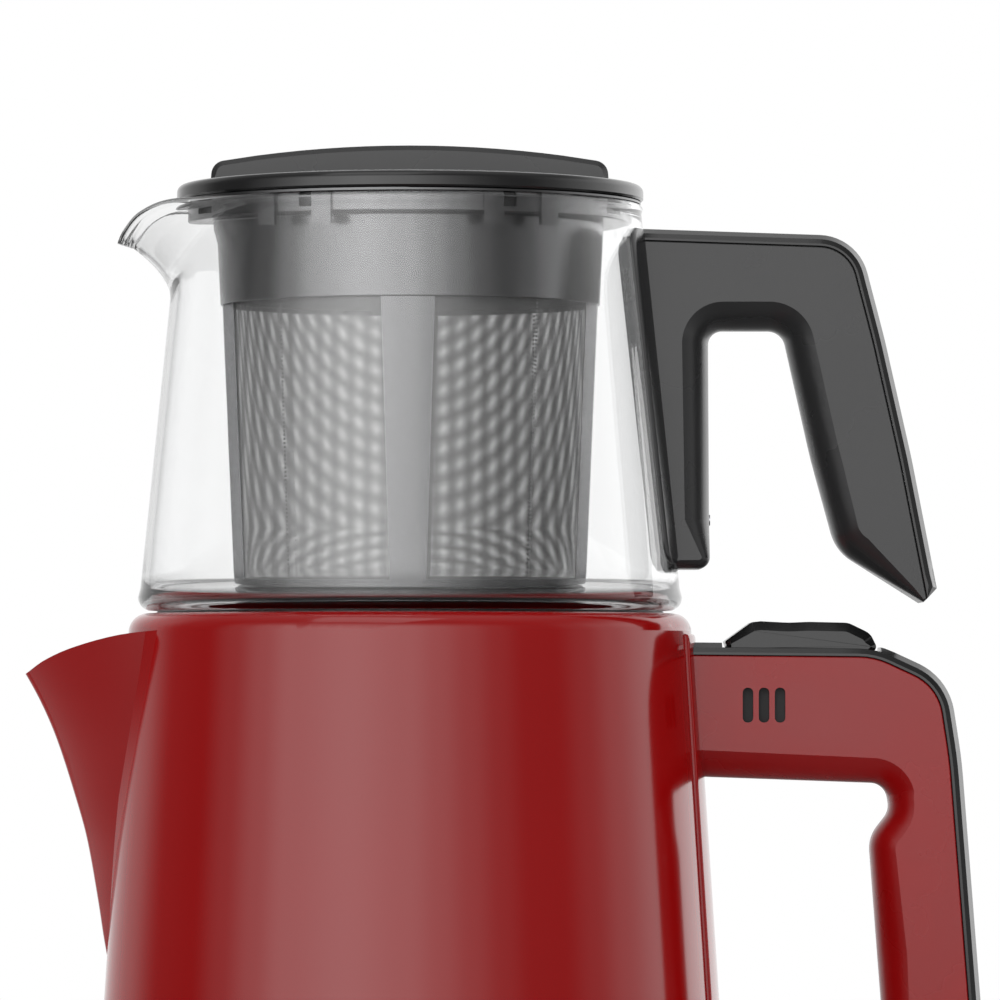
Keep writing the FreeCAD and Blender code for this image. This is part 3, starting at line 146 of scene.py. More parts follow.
KET_INNER = (
    (143.8, -131.2, 0.9, 0.8),
    (122.4, -118.0, 12, 6),
    (120.0, -88.0, 60, 7),
    (117.8, -57.5, 9, 6),
    (123.2, -50.5, 5, 6),
    (121.8, -43.6, 4.5, 6.5),
    (75.2, -41.7, 0, 7),
)
SEAM = 0.02             # width of the groove between a grip and its outer band
SEAM_EDGE = 0.08        # of the outer band, as a share of its rim
GROOVE = 0.35           # of the grip
ARC_STEPS = 8
SCOOP_FROM = 28.0       # the soft edges leave the flat face at this angle
MARGIN = 0.08           # flat border of a face, next to its rim
FACETS = ((0.0, 4.3), (1.3, 0.8), (2.5, 0.0))
TIP_GAP = 0.4           # least drop from a band's last point to its tip
CONE_SIDES = 192        # of the cutters that follow the glass and the shell
GLASS_CUT = (-5.0, 115.0)
SHELL_CUT = (10.0, TOP + 20.0)

# Grip and saddle on the glass
GRIP_OFF = 0.45         # between the glass and the grip
SADDLE_OFF = 0.2        # between the glass and the saddle
SADDLE_THICK = 1.1
SADDLE_HALF = 23.0
SADDLE_SPAN = (12.6, 98.2)
SADDLE_CORNER = 5.0
SADDLE_SOFT = 0.9       # the plate thins out over this width along its border
SADDLE_THIN = 0.55      # by this share

# Rocker seen from the side, and its chamfer
ROCKER = (
    (81.6, -9.6, 0.4, 0.3),
    (80.6, -7.2, 0.5, 0.6),
    (87.4, -2.3, 2.0, 1),
    (89.8, -2.05, 0, 1),
    (96.9, -2.42, 25, 1),
    (102.0, -2.2, 25, 1),
    (112.2, -2.42, 5.0, 1),
    (117.9, -5.2, 4.0, 1),
    (119.8, -9.4, 1.4, 0.6),
    (116.5, -10.5, 1.5, 0.3),
    (84.5, -10.5, 1.5, 0.3),
)
ROCKER_HALF = 11.0
ROCKER_BEVEL = 2.3

# Cut out of the kettle's grip: x from and to, half width, height from and to over the kettle's top edge
POCKET = (79.9, 120.6, 11.45, -12.4, 5.0)
HOLLOW = (60, 119, 9.5, -36.5, -10.5)

# Vents in the sides of the kettle's grip
VENT_X = (86.4, 90.5, 94.6)
VENT_SIZE = (2.7, 8.9)
VENT_CORNER = 1.25
VENT_Z = -23.5
VENT_CUT = (8.0, 20.0)
VENT_SHADE = (83.2, 97.8, 9.5, 9.7, -30, -17)   # dark plates behind the vents as painted shade: x, distance from the middle, and height, each from and to

# Sunk screw heads in the grip's rear half
REAR_SCREWS = ((82.0, -17.0), (82.0, -33.5), (128.5, -33.0), (131.0, -100.0))
SCREW_SINK_R = 2.9
SCREW_SEAT = 10.7
SCREW_FAR = 40.0

# Lid
LID_R = 60.0
LID_RIM = 4.1
LID_DOME = 2.6
LID_EDGE = 1.9
LID_FOOT_EDGE = 0.5
LID_LEDGE = 0.4         # flat ring between the soft edge and the dome
GRIP_HALF = 51.0
GRIP_RISE = 13.8
GRIP_ARC = 298.0        # radius of the bar's back
GRIP_W = 25.0
GRIP_LEAN = 0.4         # of its ends
GRIP_END = 6.0          # the back's points stop this far from its ends
GRIP_FOOT = 3.4
GRIP_CORNER = 3.6
GRIP_BEVEL = 1.3

# Strainer, with heights over the glass's underside; the half widths and places of ribs are angles
GAUZE_SPAN = (6.3, 79.5)
GAUZE_RADII = (42.6, 45.7)
COLLAR_R = 56.3
RIB_ANGLES = (-128, -112, -68, -52, 52, 68, 112, 128)
RIB_HALF = 0.045
RIB_R = (COLLAR_R - 0.2, COLLAR_R + 0.9)
RIB_Z = (96.5, 103.6)
REST_ANGLES = (-90, 0, 90)
REST_R = (COLLAR_R - 0.2, COLLAR_R + 0.8)
REST_SIDE = 0.125
REST_SIDE_HALF = 0.012
REST_SIDE_Z = (100.5, 104.4)
REST_HALF = 0.137
REST_Z = (99.7, 100.9)

# Weave of the gauze, in metres
GAUZE_PITCH = 0.00026
GAUZE_WIRE = 0.42       # share of the pitch that the wire covers
GAUZE_R = 0.0445        # turns angles round the cone into lengths
GAUZE_GREY = (112 / 255) ** 2.2
SEAM_WIDTH = 0.00035
SEAM_DOT = 0.62         # share of a seam that its dots cover

# Camera, in front of the object
CAMERA_AT = (0.0231, -1.8, 0.159)
CAMERA_LOOK = (0.0231, 0.0, 0.2052)
LENS = 252.0

# Brightness of the studio by direction: degrees from the camera's side, positive to the right
STUDIO = (
    (-180, 0.9), (-131, 0.54), (-108, 0.12), (-90, 0.1), (-75, 0.5), (-61, 1.26), (-48, 2.1), (-23, 2.6),
    (0, 2.1), (12, 1.5), (24, 0.93), (36, 0.47), (48, 0.2), (61, 0.18), (75, 0.45), (90, 0.9), (108, 1.3),
    (131, 1.6), (180, 0.9),
)
STUDIO_PEAK = 2.6
STUDIO_LEVEL = 1.15
TOP_LIGHT = 0.65
AMBIENT = 0.66
AMBIENT_TOP = 0.35
RING_FADE = (0.35, 0.8)     # the ring ends softly between these heights of the direction
CLEAR_FADE = (0.4, 0.9)
CLEAR_LEAST = 0.3           # brightness straight through the glass, at the top
LAMP_AT = (-0.3, -0.6, 1.5)
LAMP_LOOK = (0, 0, 0.15)
LAMP_SIZE = (0.9, 0.9)
LAMP_POWER = 3.0
FLOOR_R = 1.5
FLOOR_FADE = (0.25, 1.35)
FLOOR_DROP = 0.3            # millimetres from the object's foot to the floor
FLOOR_TONE = 0.86
FLOOR_MIRRORED = 0.12       # its tone in reflections

# Materials: the parts of a noise's range that drive gloss and colour
GLOSS_SPAN = (0.3, 0.7)
TINT_SPAN = (0.35, 0.65)
RED = (0.262, 0.0016, 0.0018, 1.0)


# Materials


def new_material(name, color, roughness, **sockets):
    """Node material with its plain values set on the shader."""
    material = bpy.data.materials.new(name)
    material.use_nodes = True
    shader = material.node_tree.nodes["Principled BSDF"]
    shader.inputs["Base Color"].default_value = color
    shader.inputs["Roughness"].default_value = roughness
    for socket, value in sockets.items():
        shader.inputs[socket.replace("_", " ")].default_value = value
    return material


def add_node(owner, kind, **settings):
    """New node in a material or in the world, with its settings."""
    node = owner.node_tree.nodes.new(kind)
    for key, value in settings.items():
        if key in node.inputs:
            node.inputs[key].default_value = value
        else:
            setattr(node, key, value)
    return node


def link(owner, source, target):
    owner.node_tree.links.new(source, target)


def calculator(owner):
    """Function that adds sums to a material or to the world."""
    def calc(operation, *values):
        node = add_node(owner, "ShaderNodeMath", operation=operation)
        for i, value in enumerate(values):
            if isinstance(value, (int, float)):
                node.inputs[i].default_value = value
            else:
                link(owner, value, node.inputs[i])
        return node.outputs["Value"]

    return calc


def map_range(owner, source, start, end, low=0.0, high=1.0, kind="LINEAR"):
    """Value that goes from low to high while its source goes from start to end."""
    node = add_node(owner, "ShaderNodeMapRange", interpolation_type=kind)
    for name, value in zip(("From Min", "From Max", "To Min", "To Max"), (start, end, low, high)):
        node.inputs[name].default_value = value
    link(owner, source, node.inputs["Value"])
    return node.outputs["Result"]


def shader_of(material):
    return material.node_tree.nodes["Principled BSDF"]


def object_noise(material, scale, detail=3.0, stretch=(1, 1, 1)):
    """Noise fixed to the object, stretched along its axes."""
    coordinates = add_node(material, "ShaderNodeTexCoord")
    mapping = add_node(material, "ShaderNodeMapping")
    mapping.inputs["Scale"].default_value = stretch
    noise = add_node(material, "ShaderNodeTexNoise", Scale=scale, Detail=detail)
    link(material, coordinates.outputs["Object"], mapping.inputs["Vector"])
    link(material, mapping.outputs["Vector"], noise.inputs["Vector"])
    return noise.outputs["Fac"]


def add_bump(material, height, strength, distance):
    bump = add_node(material, "ShaderNodeBump", Strength=strength, Distance=distance)
    link(material, height, bump.inputs["Height"])
    link(material, bump.outputs["Normal"], shader_of(material).inputs["Normal"])
    return bump


def vary(material, source, socket, low, high):
    """Drive a shader value between two limits by a pattern."""
    link(material, map_range(material, source, *GLOSS_SPAN, low, high), shader_of(material).inputs[socket])


def tint(material, source, dark, light):
    """Drive the base colour between two colours by a pattern."""
    ramp = add_node(material, "ShaderNodeValToRGB")
    for stop, place, color in zip(ramp.color_ramp.elements, TINT_SPAN, (dark, light)):
        stop.position = place
        stop.color = color
    link(material, source, ramp.inputs["Fac"])
    link(material, ramp.outputs["Color"], shader_of(material).inputs["Base Color"])


def shade(color, factor):
    return tuple(c * factor for c in color[:3]) + (1.0,)


def moulded(name, color, roughness, grain, depth, spread=0.06):
    """Moulded plastic: fine grain, slightly uneven gloss and colour."""
    material = new_material(name, color, roughness)
    fine = object_noise(material, grain, 2.0)
    broad = object_noise(material, 30.0, 4.0)
    add_bump(material, fine, depth, 0.0002)
    vary(material, broad, "Roughness", roughness - spread, roughness + spread)
    tint(material, broad, shade(color, 0.94), shade(color, 1.06))
    return material


def painted(name, color):
    """Stove enamel: clear coat over deep colour, with faint orange peel."""
    material = new_material(name, color, 0.5, Coat_Weight=1.0, Coat_Roughness=0.11, Specular_IOR_Level=0.0)
    peel = object_noise(material, 420.0, 1.0)
    cloud = object_noise(material, 9.0, 3.0)
    add_bump(material, peel, 0.02, 0.0003)
    vary(material, cloud, "Coat Roughness", 0.09, 0.13)
    tint(material, cloud, shade(color, 0.97), shade(color, 1.03))
    return material


def metal(name, color, roughness, stretch, scale=300.0, depth=0.15, spread=0.07):
    """Metal with fine brushing along the axis that is stretched least."""
    material = new_material(name, color, roughness, Metallic=1.0)
    lines = object_noise(material, scale, 4.0, stretch)
    add_bump(material, lines, depth, 0.0001)
    vary(material, lines, "Roughness", roughness - spread, roughness + spread)
    tint(material, lines, shade(color, 1 - spread), shade(color, 1 + spread))
    return material


def glass_material():
    """Clear glass with painted shade: darker where it is seen edge on, and darker towards its foot."""
    material = new_material("clear_glass", (1, 1, 1, 1), 0.0, Transmission_Weight=1.0, IOR=1.46)
    # Painted shade: the colour turns dark where the glass is seen edge on
    facing = add_node(material, "ShaderNodeLayerWeight", Blend=0.5)
    ramp = add_node(material, "ShaderNodeValToRGB")
    stops = ramp.color_ramp.elements
    stops.new(GLASS_EDGE_SHADES[1][0])
    for stop, (place, tone) in zip(stops, GLASS_EDGE_SHADES):
        stop.position = place
        stop.color = tone
    link(material, facing.outputs["Facing"], ramp.inputs["Fac"])
    # Painted shade towards the foot, where the black collar below shows through the glass
    axes = add_node(material, "ShaderNodeSeparateXYZ")
    link(material, add_node(material, "ShaderNodeTexCoord").outputs["Object"], axes.inputs["Vector"])
    shade_top = (GLASS_Z + GLASS_SHADE_HEIGHT) * MM
    depth = map_range(material, axes.outputs["Z"], GLASS_Z * MM, shade_top, GLASS_FOOT_SHADE)
    darker = add_node(material, "ShaderNodeVectorMath", operation="MULTIPLY")
    link(material, ramp.outputs["Color"], darker.inputs[0])
    link(material, depth, darker.inputs[1])
    link(material, darker.outputs["Vector"], shader_of(material).inputs["Base Color"])
    vary(material, object_noise(material, 25.0), "Roughness", 0.0, 0.012)
    return material


def gauze_material(flat=False):
    """Woven wire: holes between crossing wires, and dotted seams down the cone."""
    name = "gauze_flat" if flat else "gauze_cone"
    material = new_material(name, (GAUZE_GREY, GAUZE_GREY, GAUZE_GREY, 1.0), 0.4, Metallic=0.8)
    coordinates = add_node(material, "ShaderNodeTexCoord")
    axes = add_node(material, "ShaderNodeSeparateXYZ")
    link(material, coordinates.outputs["Object"], axes.inputs["Vector"])
    x, y, z = (axes.outputs[name] for name in "XYZ")
    calc = calculator(material)
    if flat:
        across, along = x, y
    else:
        angle = calc("ARCTAN2", y, x)
        across, along = calc("MULTIPLY", angle, GAUZE_R), z
    wires = []
    for axis in (across, along):
        turn = calc("FRACT", calc("DIVIDE", axis, GAUZE_PITCH))
        wires.append(calc("LESS_THAN", turn, GAUZE_WIRE))
    solid = calc("MAXIMUM", *wires)
    if not flat:
        quarter = calc("PINGPONG", calc("ABSOLUTE", angle), math.pi / 4)
        side = calc("SUBTRACT", math.pi / 4, quarter)
        seam = calc("LESS_THAN", side, SEAM_WIDTH / GAUZE_R)
        dots = calc("FRACT", calc("DIVIDE", z, 4 * GAUZE_PITCH))
        seam = calc("MULTIPLY", seam, calc("LESS_THAN", dots, SEAM_DOT))
        solid = calc("MAXIMUM", solid, seam)
    link(material, solid, shader_of(material).inputs["Alpha"])
    vary(material, object_noise(material, 900.0), "Roughness", 0.35, 0.55)
    return material


SLOT_MATERIALS = {
    "red_paint": painted("red_enamel", RED),
    "red_plastic": moulded("red_plastic", (0.262, 0.002, 0.0024, 1.0), 0.27, 2600.0, 0.1, 0.03),
    "black_satin": moulded("black_satin", (0.007, 0.007, 0.0072, 1.0), 0.17, 1500.0, 0.02, 0.03),
    "black_texture": moulded("black_texture", (0.02, 0.02, 0.0205, 1.0), 0.27, 2800.0, 0.14, 0.03),
    "black_inner": moulded("black_inner", (0.011, 0.011, 0.0115, 1.0), 0.6, 1200.0, 0.1),
    "glass": glass_material(),
    "strainer_plastic": metal(
        "strainer_satin", (0.118, 0.118, 0.12, 1.0), 0.25, (1, 1, 1), 3000.0, 0.01, 0.012
    ),
    "gauze": gauze_material(),
    "steel": metal("brushed_steel", (0.55, 0.55, 0.56, 1.0), 0.32, (1, 1, 0.04)),
    "screw_steel": metal("screw_steel", (0.5, 0.5, 0.52, 1.0), 0.28, (1, 0.2, 1)),
    "aluminium": metal("aluminium", (0.7, 0.7, 0.71, 1.0), 0.4, (1, 1, 1)),
    "brass": metal("brass", (0.68, 0.47, 0.17, 1.0), 0.3, (1, 1, 0.2)),
    "silicone": moulded("silicone", (0.55, 0.55, 0.53, 1.0), 0.55, 700.0, 0.1),
    "foot_rubber": moulded("foot_rubber", (0.018, 0.018, 0.018, 1.0), 0.75, 900.0, 0.3),
    "white_ceramic": moulded("white_ceramic", (0.7, 0.69, 0.65, 1.0), 0.5, 900.0, 0.1),
    "wire_sleeve": moulded("wire_sleeve", (0.62, 0.6, 0.48, 1.0), 0.5, 1500.0, 0.1),
}


def dress_frame():
    """Give every carried-over node the material of its slot."""
    for entry in frame["record"]["subparts"]:
        node = frame["nodes"][entry["node"]]
        node.data.materials.clear()
        node.data.materials.append(SLOT_MATERIALS[entry["material_slot"]])
    flat = frame["nodes"]["strainer_floor_mesh"]
    flat.data.materials.clear()
    flat.data.materials.append(gauze_material(True))


# Meshes


def finish_piece(piece, body, slot, nodes=(), sharp=40):
    """Shade, dress and attach one new piece."""
    piece.data.set_sharp_from_angle(angle=math.radians(sharp))
    piece.data.materials.clear()
    piece.data.materials.append(SLOT_MATERIALS[slot])
    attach(piece, body)
    if nodes:
        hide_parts(*nodes)
    return piece


def make_object(name, points, faces, flat_faces=()):
    """Object from points in millimetres; faces turn smooth apart from the flat ones."""
    mesh = bpy.data.meshes.new(name)
    mesh.from_pydata([Vector(p) * MM for p in points], [], faces)
    mesh.validate()
    for polygon in mesh.polygons:
        polygon.use_smooth = True
    for index in flat_faces:
        mesh.polygons[index].use_smooth = False
    piece = bpy.data.objects.new(name, mesh)
    bpy.context.scene.collection.objects.link(piece)
    return piece


def rounded(points, closed=False, step=7.0, spacing=4.0):
    """Points along an outline whose corners are arcs; the fourth value runs along with them."""
    count = len(points)
    outline = []
    for i, (u, v, r, edge) in enumerate(points):
        here = Vector((u, v))
        if r <= 0 or (not closed and i in (0, count - 1)):
            outline.append((u, v, edge))
            continue
        before = Vector(points[i - 1][:2]) - here
        after = Vector(points[(i + 1) % count][:2]) - here
        half = before.angle(after) / 2
        before.normalize()
        after.normalize()
        reach = r / math.tan(half)
        centre = here + (before + after).normalized() * (r / math.sin(half))
        start = here + before * reach - centre
        turn = math.pi - 2 * half
        sign = 1 if before.x * after.y - before.y * after.x < 0 else -1
        steps = max(2, math.ceil(math.degrees(turn) / step), math.ceil(turn * r / spacing))
        for k in range(steps + 1):
            a = sign * turn * k / steps
            x = start.x * math.cos(a) - start.y * math.sin(a)
            y = start.x * math.sin(a) + start.y * math.cos(a)
            outline.append((centre.x + x, centre.y + y, edge))
    return divided(outline, closed, spacing)


def divided(outline, closed, spacing):
    """Long runs get points in between, with the edge size running along."""
    result = []
    count = len(outline)
    for i, here in enumerate(outline):
        result.append(here)
        if not closed and i == count - 1:
            break
        there = outline[(i + 1) % count]
        length = math.dist(here[:2], there[:2])
        parts = max(1, round(length / spacing))
        for k in range(1, parts):
            t = k / parts
            result.append(tuple(a + (b - a) * t for a, b in zip(here, there)))
    return result


def inward_normals(outline):
    """Unit normals of a closed outline, pointing to its inside."""
    count = len(outline)
    area = sum(
        outline[i][0] * outline[(i + 1) % count][1] - outline[(i + 1) % count][0] * outline[i][1]
        for i in range(count)
    )
    side = 1 if area > 0 else -1
    normals = []
    for i in range(count):
        total = Vector((0, 0))
        for a, b in ((outline[i - 1], outline[i]), (outline[i], outline[(i + 1) % count])):
            run = Vector((b[0] - a[0], b[1] - a[1]))
            if run.length > 1e-6:
                run.normalize()
                total += Vector((-run.y, run.x)) * side
        normals.append(total.normalized())
    return normals


def rim_steps(kind):
    """Steps of a rim of size 1, as (distance from the outline, depth below the face)."""
    if kind == "chamfer":
        return [(0.0, 1.0), (1.0, 0.0)]
    if kind == "facets":
        return FACETS
    first = math.radians(SCOOP_FROM)
    r = 1 / (1 - math.sin(first))
    steps = []
    for k in range(ARC_STEPS + 1):
        a = math.pi / 2 + (first - math.pi / 2) * k / ARC_STEPS
        steps.append((r * (1 - math.sin(a)), r * (math.cos(first) - math.cos(a))))
    return steps


def slab(name, outline, y0, y1, lift=0.0, kind="scoop", edges=(1, 1)):
    """Plate of a closed side outline from y0 to y1, whose rims are scooped, chamfered or faceted.

    The outline's third value is the rim's size, times the factor of that side.
    """
    normals = inward_normals(outline)
    count = len(outline)
    points = []
    rings = []
    for face_y, sign, factor in ((y0, -1, edges[0]), (y1, 1, edges[1])):
        side = []
        steps = rim_steps(kind)
        for inset, depth in steps:
            side.append(len(points))
            for (x, z, edge), normal in zip(outline, normals):
                d = edge * factor * inset
                y = face_y - sign * edge * factor * depth
                points.append((x + normal.x * d, y, z + normal.y * d + lift))
        side.append(len(points))
        for (x, z, edge), normal in zip(outline, normals):
            d = edge * factor * steps[-1][0] + MARGIN
            points.append((x + normal.x * d, face_y, z + normal.y * d + lift))
        rings.append(side)
    order = list(reversed(rings[0])) + rings[1]
    faces = []
    for a, b in zip(order, order[1:]):
        for i in range(count):
            j = (i + 1) % count
            faces.append((a + i, a + j, b + j, b + i))
    caps = [len(faces), len(faces) + 1]
    faces.append(tuple(order[0] + i for i in range(count)))
    faces.append(tuple(order[-1] + i for i in reversed(range(count))))
    piece = make_object(name, points, faces, caps)
    fix_normals(piece)
    return piece


def fix_normals(piece):
    mesh = bmesh.new()
    mesh.from_mesh(piece.data)
    bmesh.ops.recalc_face_normals(mesh, faces=mesh.faces)
    mesh.to_mesh(piece.data)
    mesh.free()


def ring(r, z, segments):
    """Points round the axis."""
    turns = [2 * math.pi * i / segments for i in range(segments)]
    return [(r * math.cos(a), r * math.sin(a), z) for a in turns]


def grid_faces(rows, columns, closed=False):
    """Faces between neighbouring rows of points, which can close round the axis."""
    faces = []
    for a in range(0, (rows - 1) * columns, columns):
        for k in range(columns if closed else columns - 1):
            j = (k + 1) % columns
            faces.append((a + k, a + j, a + columns + j, a + columns + k))
    return faces


def lathe(name, profile, segments=128):
    """Solid of revolution from a closed profile (r, z); points on the axis become one."""
    points = []
    rows = []
    for r, z in profile:
        if r < 1e-6:
            rows.append([len(points)] * segments)
            points.append((0, 0, z))
            continue
        rows.append([len(points) + i for i in range(segments)])
        points += ring(r, z, segments)
    faces = []
    for k in range(len(rows)):
        a, b = rows[k], rows[(k + 1) % len(rows)]
        if len(set(a)) == 1 and len(set(b)) == 1:
            continue
        for i in range(segments):
            j = (i + 1) % segments
            faces.append(tuple(dict.fromkeys((a[i], a[j], b[j], b[i]))))
    piece = make_object(name, points, faces)
    fix_normals(piece)
    return piece


def cut(piece, cutters):
    """Take other solids out of a piece, and delete them."""
    for cutter in cutters:
        modifier = piece.modifiers.new("cut", "BOOLEAN")
        modifier.operation = "DIFFERENCE"
        modifier.solver = "EXACT"
        modifier.object = cutter
    bpy.context.view_layer.update()
    done = bpy.data.meshes.new_from_object(piece.evaluated_get(bpy.context.evaluated_depsgraph_get()))
    piece.modifiers.clear()
    piece.data = done
    for cutter in cutters:
        bpy.data.objects.remove(cutter)
    return piece


def prism(name, outline, y0, y1):
    """Solid that runs along Y, from its side outline (x, z)."""
    count = len(outline)
    points = [(x, y, z) for y in (y0, y1) for x, z in outline]
    faces = [tuple(range(count)), tuple(reversed(range(count, 2 * count)))]
    for i in range(count):
        j = (i + 1) % count
        faces.append((i, i + count, j + count, j))
    piece = make_object(name, points, faces)
    fix_normals(piece)
    return piece


def block(name, x0, x1, y0, y1, z0, z1):
    return prism(name, [(x0, z0), (x1, z0), (x1, z1), (x0, z1)], y0, y1)


def rod(name, r, y0, y1, x, z, segments=32):
    """Round cutter along Y."""
    turns = [2 * math.pi * i / segments for i in range(segments)]
    return prism(name, [(x + r * math.cos(a), z + r * math.sin(a)) for a in turns], y0, y1)


def closed_sheet(name, first, second):
    """Solid between two grids of points, closed along its four borders."""
    rows = len(first)
    count = len(first[0])
    shift = rows * count
    points = [p for grid in (first, second) for row in grid for p in row]
    faces = []
    for i in range(rows - 1):
        for k in range(count - 1):
            a = i * count + k
            faces.append((a, a + count, a + count + 1, a + 1))
            faces.append((a + shift, a + shift + 1, a + shift + count + 1, a + shift + count))
    for k in range(count - 1):
        for a in (k, k + (rows - 1) * count):
            faces.append((a, a + 1, a + 1 + shift, a + shift))
    for i in range(rows - 1):
        for a in (i * count, i * count + count - 1):
            faces.append((a, a + shift, a + shift + count, a + count))
    piece = make_object(name, points, faces)
    fix_normals(piece)
    return piece


def shell_r(z):
    return SHELL_R + SHELL_SLOPE * (TOP - SHOULDER - z)


def glass_r(z):
    return GLASS_R - GLASS_SLOPE * z


def glass_over_kettle(z):
    """Radius of the glass at a height over the kettle's top edge."""
    return glass_r(z - (GLASS_Z - TOP))


# Handles


def offset_line(points, distance, tip):
    """Open outline moved towards the grip's inside, ended on the line to the tip's inner corner."""
    moved = []
    for i, (x, z, edge) in enumerate(points):
        a = points[max(i - 1, 0)]
        b = points[min(i + 1, len(points) - 1)]
        run = Vector((b[0] - a[0], b[1] - a[1])).normalized()
        normal = Vector((run.y, -run.x))
        moved.append((x + normal.x * distance, z + normal.y * distance, edge))
    last = Vector(points[-1][:2])
    along = (Vector(tip[:2]) - last).normalized()
    reach = distance / max(along.dot(normal), 0.2)
    end = last + along * reach
    while len(moved) > 1 and moved[-1][1] < end.y + TIP_GAP:
        moved.pop()
    moved.append((end.x, end.y, points[-1][2]))
    return moved


def band_and_grip(outer, inner, thickness, root):
    """Closed outlines of the outer band and of the grip inside it, which both start at the root."""
    outer = ((root(outer[0][1]), *outer[0][1:]),) + outer[1:]
    inner = inner[:-1] + ((root(inner[-1][1]), *inner[-1][1:]),)
    line = rounded(outer)
    tip = inner[0]
    seam = offset_line(line, thickness, tip)
    core_top = offset_line(line, thickness + SEAM, tip)
    band = line + [(x, z, SEAM_EDGE) for x, z, _ in reversed(seam)]
    inner_line = rounded(inner)
    grip = [(x, z, GROOVE) for x, z, _ in core_top] + inner_line
    low = inner_line[-1]
    high = core_top[0]
    grip += [(root(z), z, 0.0) for z in spaced(low[1], high[1], 5)]
    return band, grip


def spaced(a, b, parts):
    """Values between a and b, without the ends."""
    return [a + (b - a) * k / parts for k in range(1, parts)]


def glass_cone():
    """Cutter in the shape of the glass with its gap to the grip."""
    z0, z1 = GLASS_CUT
    low, high = z0 + GLASS_Z, z1 + GLASS_Z
    profile = [(0, low), (glass_r(z0) + GRIP_OFF, low), (glass_r(z1) + GRIP_OFF, high), (0, high)]
    return lathe("cone", profile, CONE_SIDES)


def teapot_grip():
    def root(z):
        return glass_over_kettle(z) - TEA_ROOT

    band, grip = band_and_grip(TEA_OUTER, TEA_INNER, TEA_COVER, root)
    cover = slab("teapot_grip_cover", band, -TEA_HALF, TEA_HALF, TOP, "facets")
    cut(cover, [glass_cone()])
    finish_piece(cover, "teapot", "black_satin", ["teapot_handle_cover"], 20)
    core = slab("teapot_grip", grip, -TEA_HALF, TEA_HALF, TOP)
    cut(core, [glass_cone()])
    finish_piece(core, "teapot", "black_texture", ["teapot_handle"], 22)


def saddle():
    """Curved plate with round corners that hugs the glass behind the grip."""
    low, high = SADDLE_SPAN
    rows = 44
    columns = 30
    grids = []
    for layer in (0, 1):
        grid = []
        for i in range(rows + 1):
            z = low + (high - low) * i / rows
            end = min(z - low, high - z)
            inset = 0.0
            if end < SADDLE_CORNER:
                inset = SADDLE_CORNER - math.sqrt(SADDLE_CORNER ** 2 - (SADDLE_CORNER - end) ** 2)
            row = []
            for k in range(2 * columns + 1):
                y = (SADDLE_HALF - inset) * (k / columns - 1)
                edge = (SADDLE_HALF - inset) - abs(y)
                soft = min(edge, end) / SADDLE_SOFT
                thick = SADDLE_THICK * (1 - SADDLE_THIN * max(0.0, 1 - soft) ** 2)
                r = glass_over_kettle(z) + SADDLE_OFF + thick * layer
                row.append((math.sqrt(r * r - y * y), y, z + TOP))
            grid.append(row)
        grids.append(grid)
    piece = closed_sheet("saddle_plate", *grids)
    finish_piece(piece, "teapot", "black_texture", ["teapot_saddle"], 35)


def shell_cone():
    """Cutter in the shape of the kettle's shell, a little smaller."""
    low, high = SHELL_CUT
    profile = [(0, low), (shell_r(low) + SHELL_OFF, low), (shell_r(high) + SHELL_OFF, high), (0, high)]
    return lathe("cone", profile, CONE_SIDES)


def grip_cutter(name, x0, x1, half, low, high):
    """Block in the kettle's grip, with heights over the kettle's top edge."""
    return block(name, x0, x1, -half, half, TOP + low, TOP + high)


def kettle_grip():
    def root(z):
        return shell_r(TOP + z) - KET_ROOT

    band, grip = band_and_grip(KET_OUTER, KET_INNER, KET_STRIP, root)
    strip = slab("kettle_grip_band", band, -KET_HALF, KET_HALF, TOP, "facets")
    cut(strip, [grip_cutter("pocket", *POCKET), shell_cone()])
    finish_piece(strip, "kettle", "black_satin", ["handle_strip"], 20)
    front = slab("kettle_grip_front", grip, -KET_HALF, -HALVES_GAP, TOP, edges=(1, 0.0))
    rear = slab("kettle_grip_rear", grip, HALVES_GAP, KET_HALF, TOP, edges=(0.0, 1))
    for piece, side in ((front, -1), (rear, 1)):
        cutters = [grip_cutter("hollow", *HOLLOW), shell_cone()]
        cutters.append(grip_cutter("pocket", *POCKET))
        cutters += [vent_cutter(x, side) for x in VENT_X]
        if side > 0:
            for x, z in REAR_SCREWS:
                cutters.append(rod("sink", SCREW_SINK_R, SCREW_SEAT, SCREW_FAR, x, TOP + z))
        cut(piece, cutters)
        node = "handle_shell_front" if side < 0 else "handle_shell_rear"
        finish_piece(piece, "kettle", "red_plastic", [node], 22)
    vent_shade_plates()


def vent_shade_plates():
    """Dark plates behind the vents on both sides, as painted shade in the grip's hollow."""
    x0, x1, near, far, low, high = VENT_SHADE
    for side, label in ((-1, "front"), (1, "rear")):
        shade_plate = block("vent_shade_plate_" + label, x0, x1, side * far, side * near, TOP + low, TOP + high)
        finish_piece(shade_plate, "kettle", "black_inner", [], 30)


def vent_cutter(x, side):
    """Upright slot with round corners through one side of the grip."""
    width, height = VENT_SIZE
    corners = []
    for right, up in ((-1, -1), (1, -1), (1, 1), (-1, 1)):
        corners.append((x + right * width / 2, VENT_Z + up * height / 2, VENT_CORNER, 0))
    outline = [(u, v + TOP) for u, v, _ in rounded(corners, True, 15.0, 5.0)]
    return prism("vent", outline, *sorted(side * y for y in VENT_CUT))


def rocker_cap():
    outline = [(x, z, ROCKER_BEVEL * edge) for x, z, edge in rounded(ROCKER, True, 10.0, 3.0)]
    cap = slab("thumb_rocker", outline, -ROCKER_HALF, ROCKER_HALF, TOP, "chamfer")
    finish_piece(cap, "rocker", "black_satin", ["rocker"], 25)


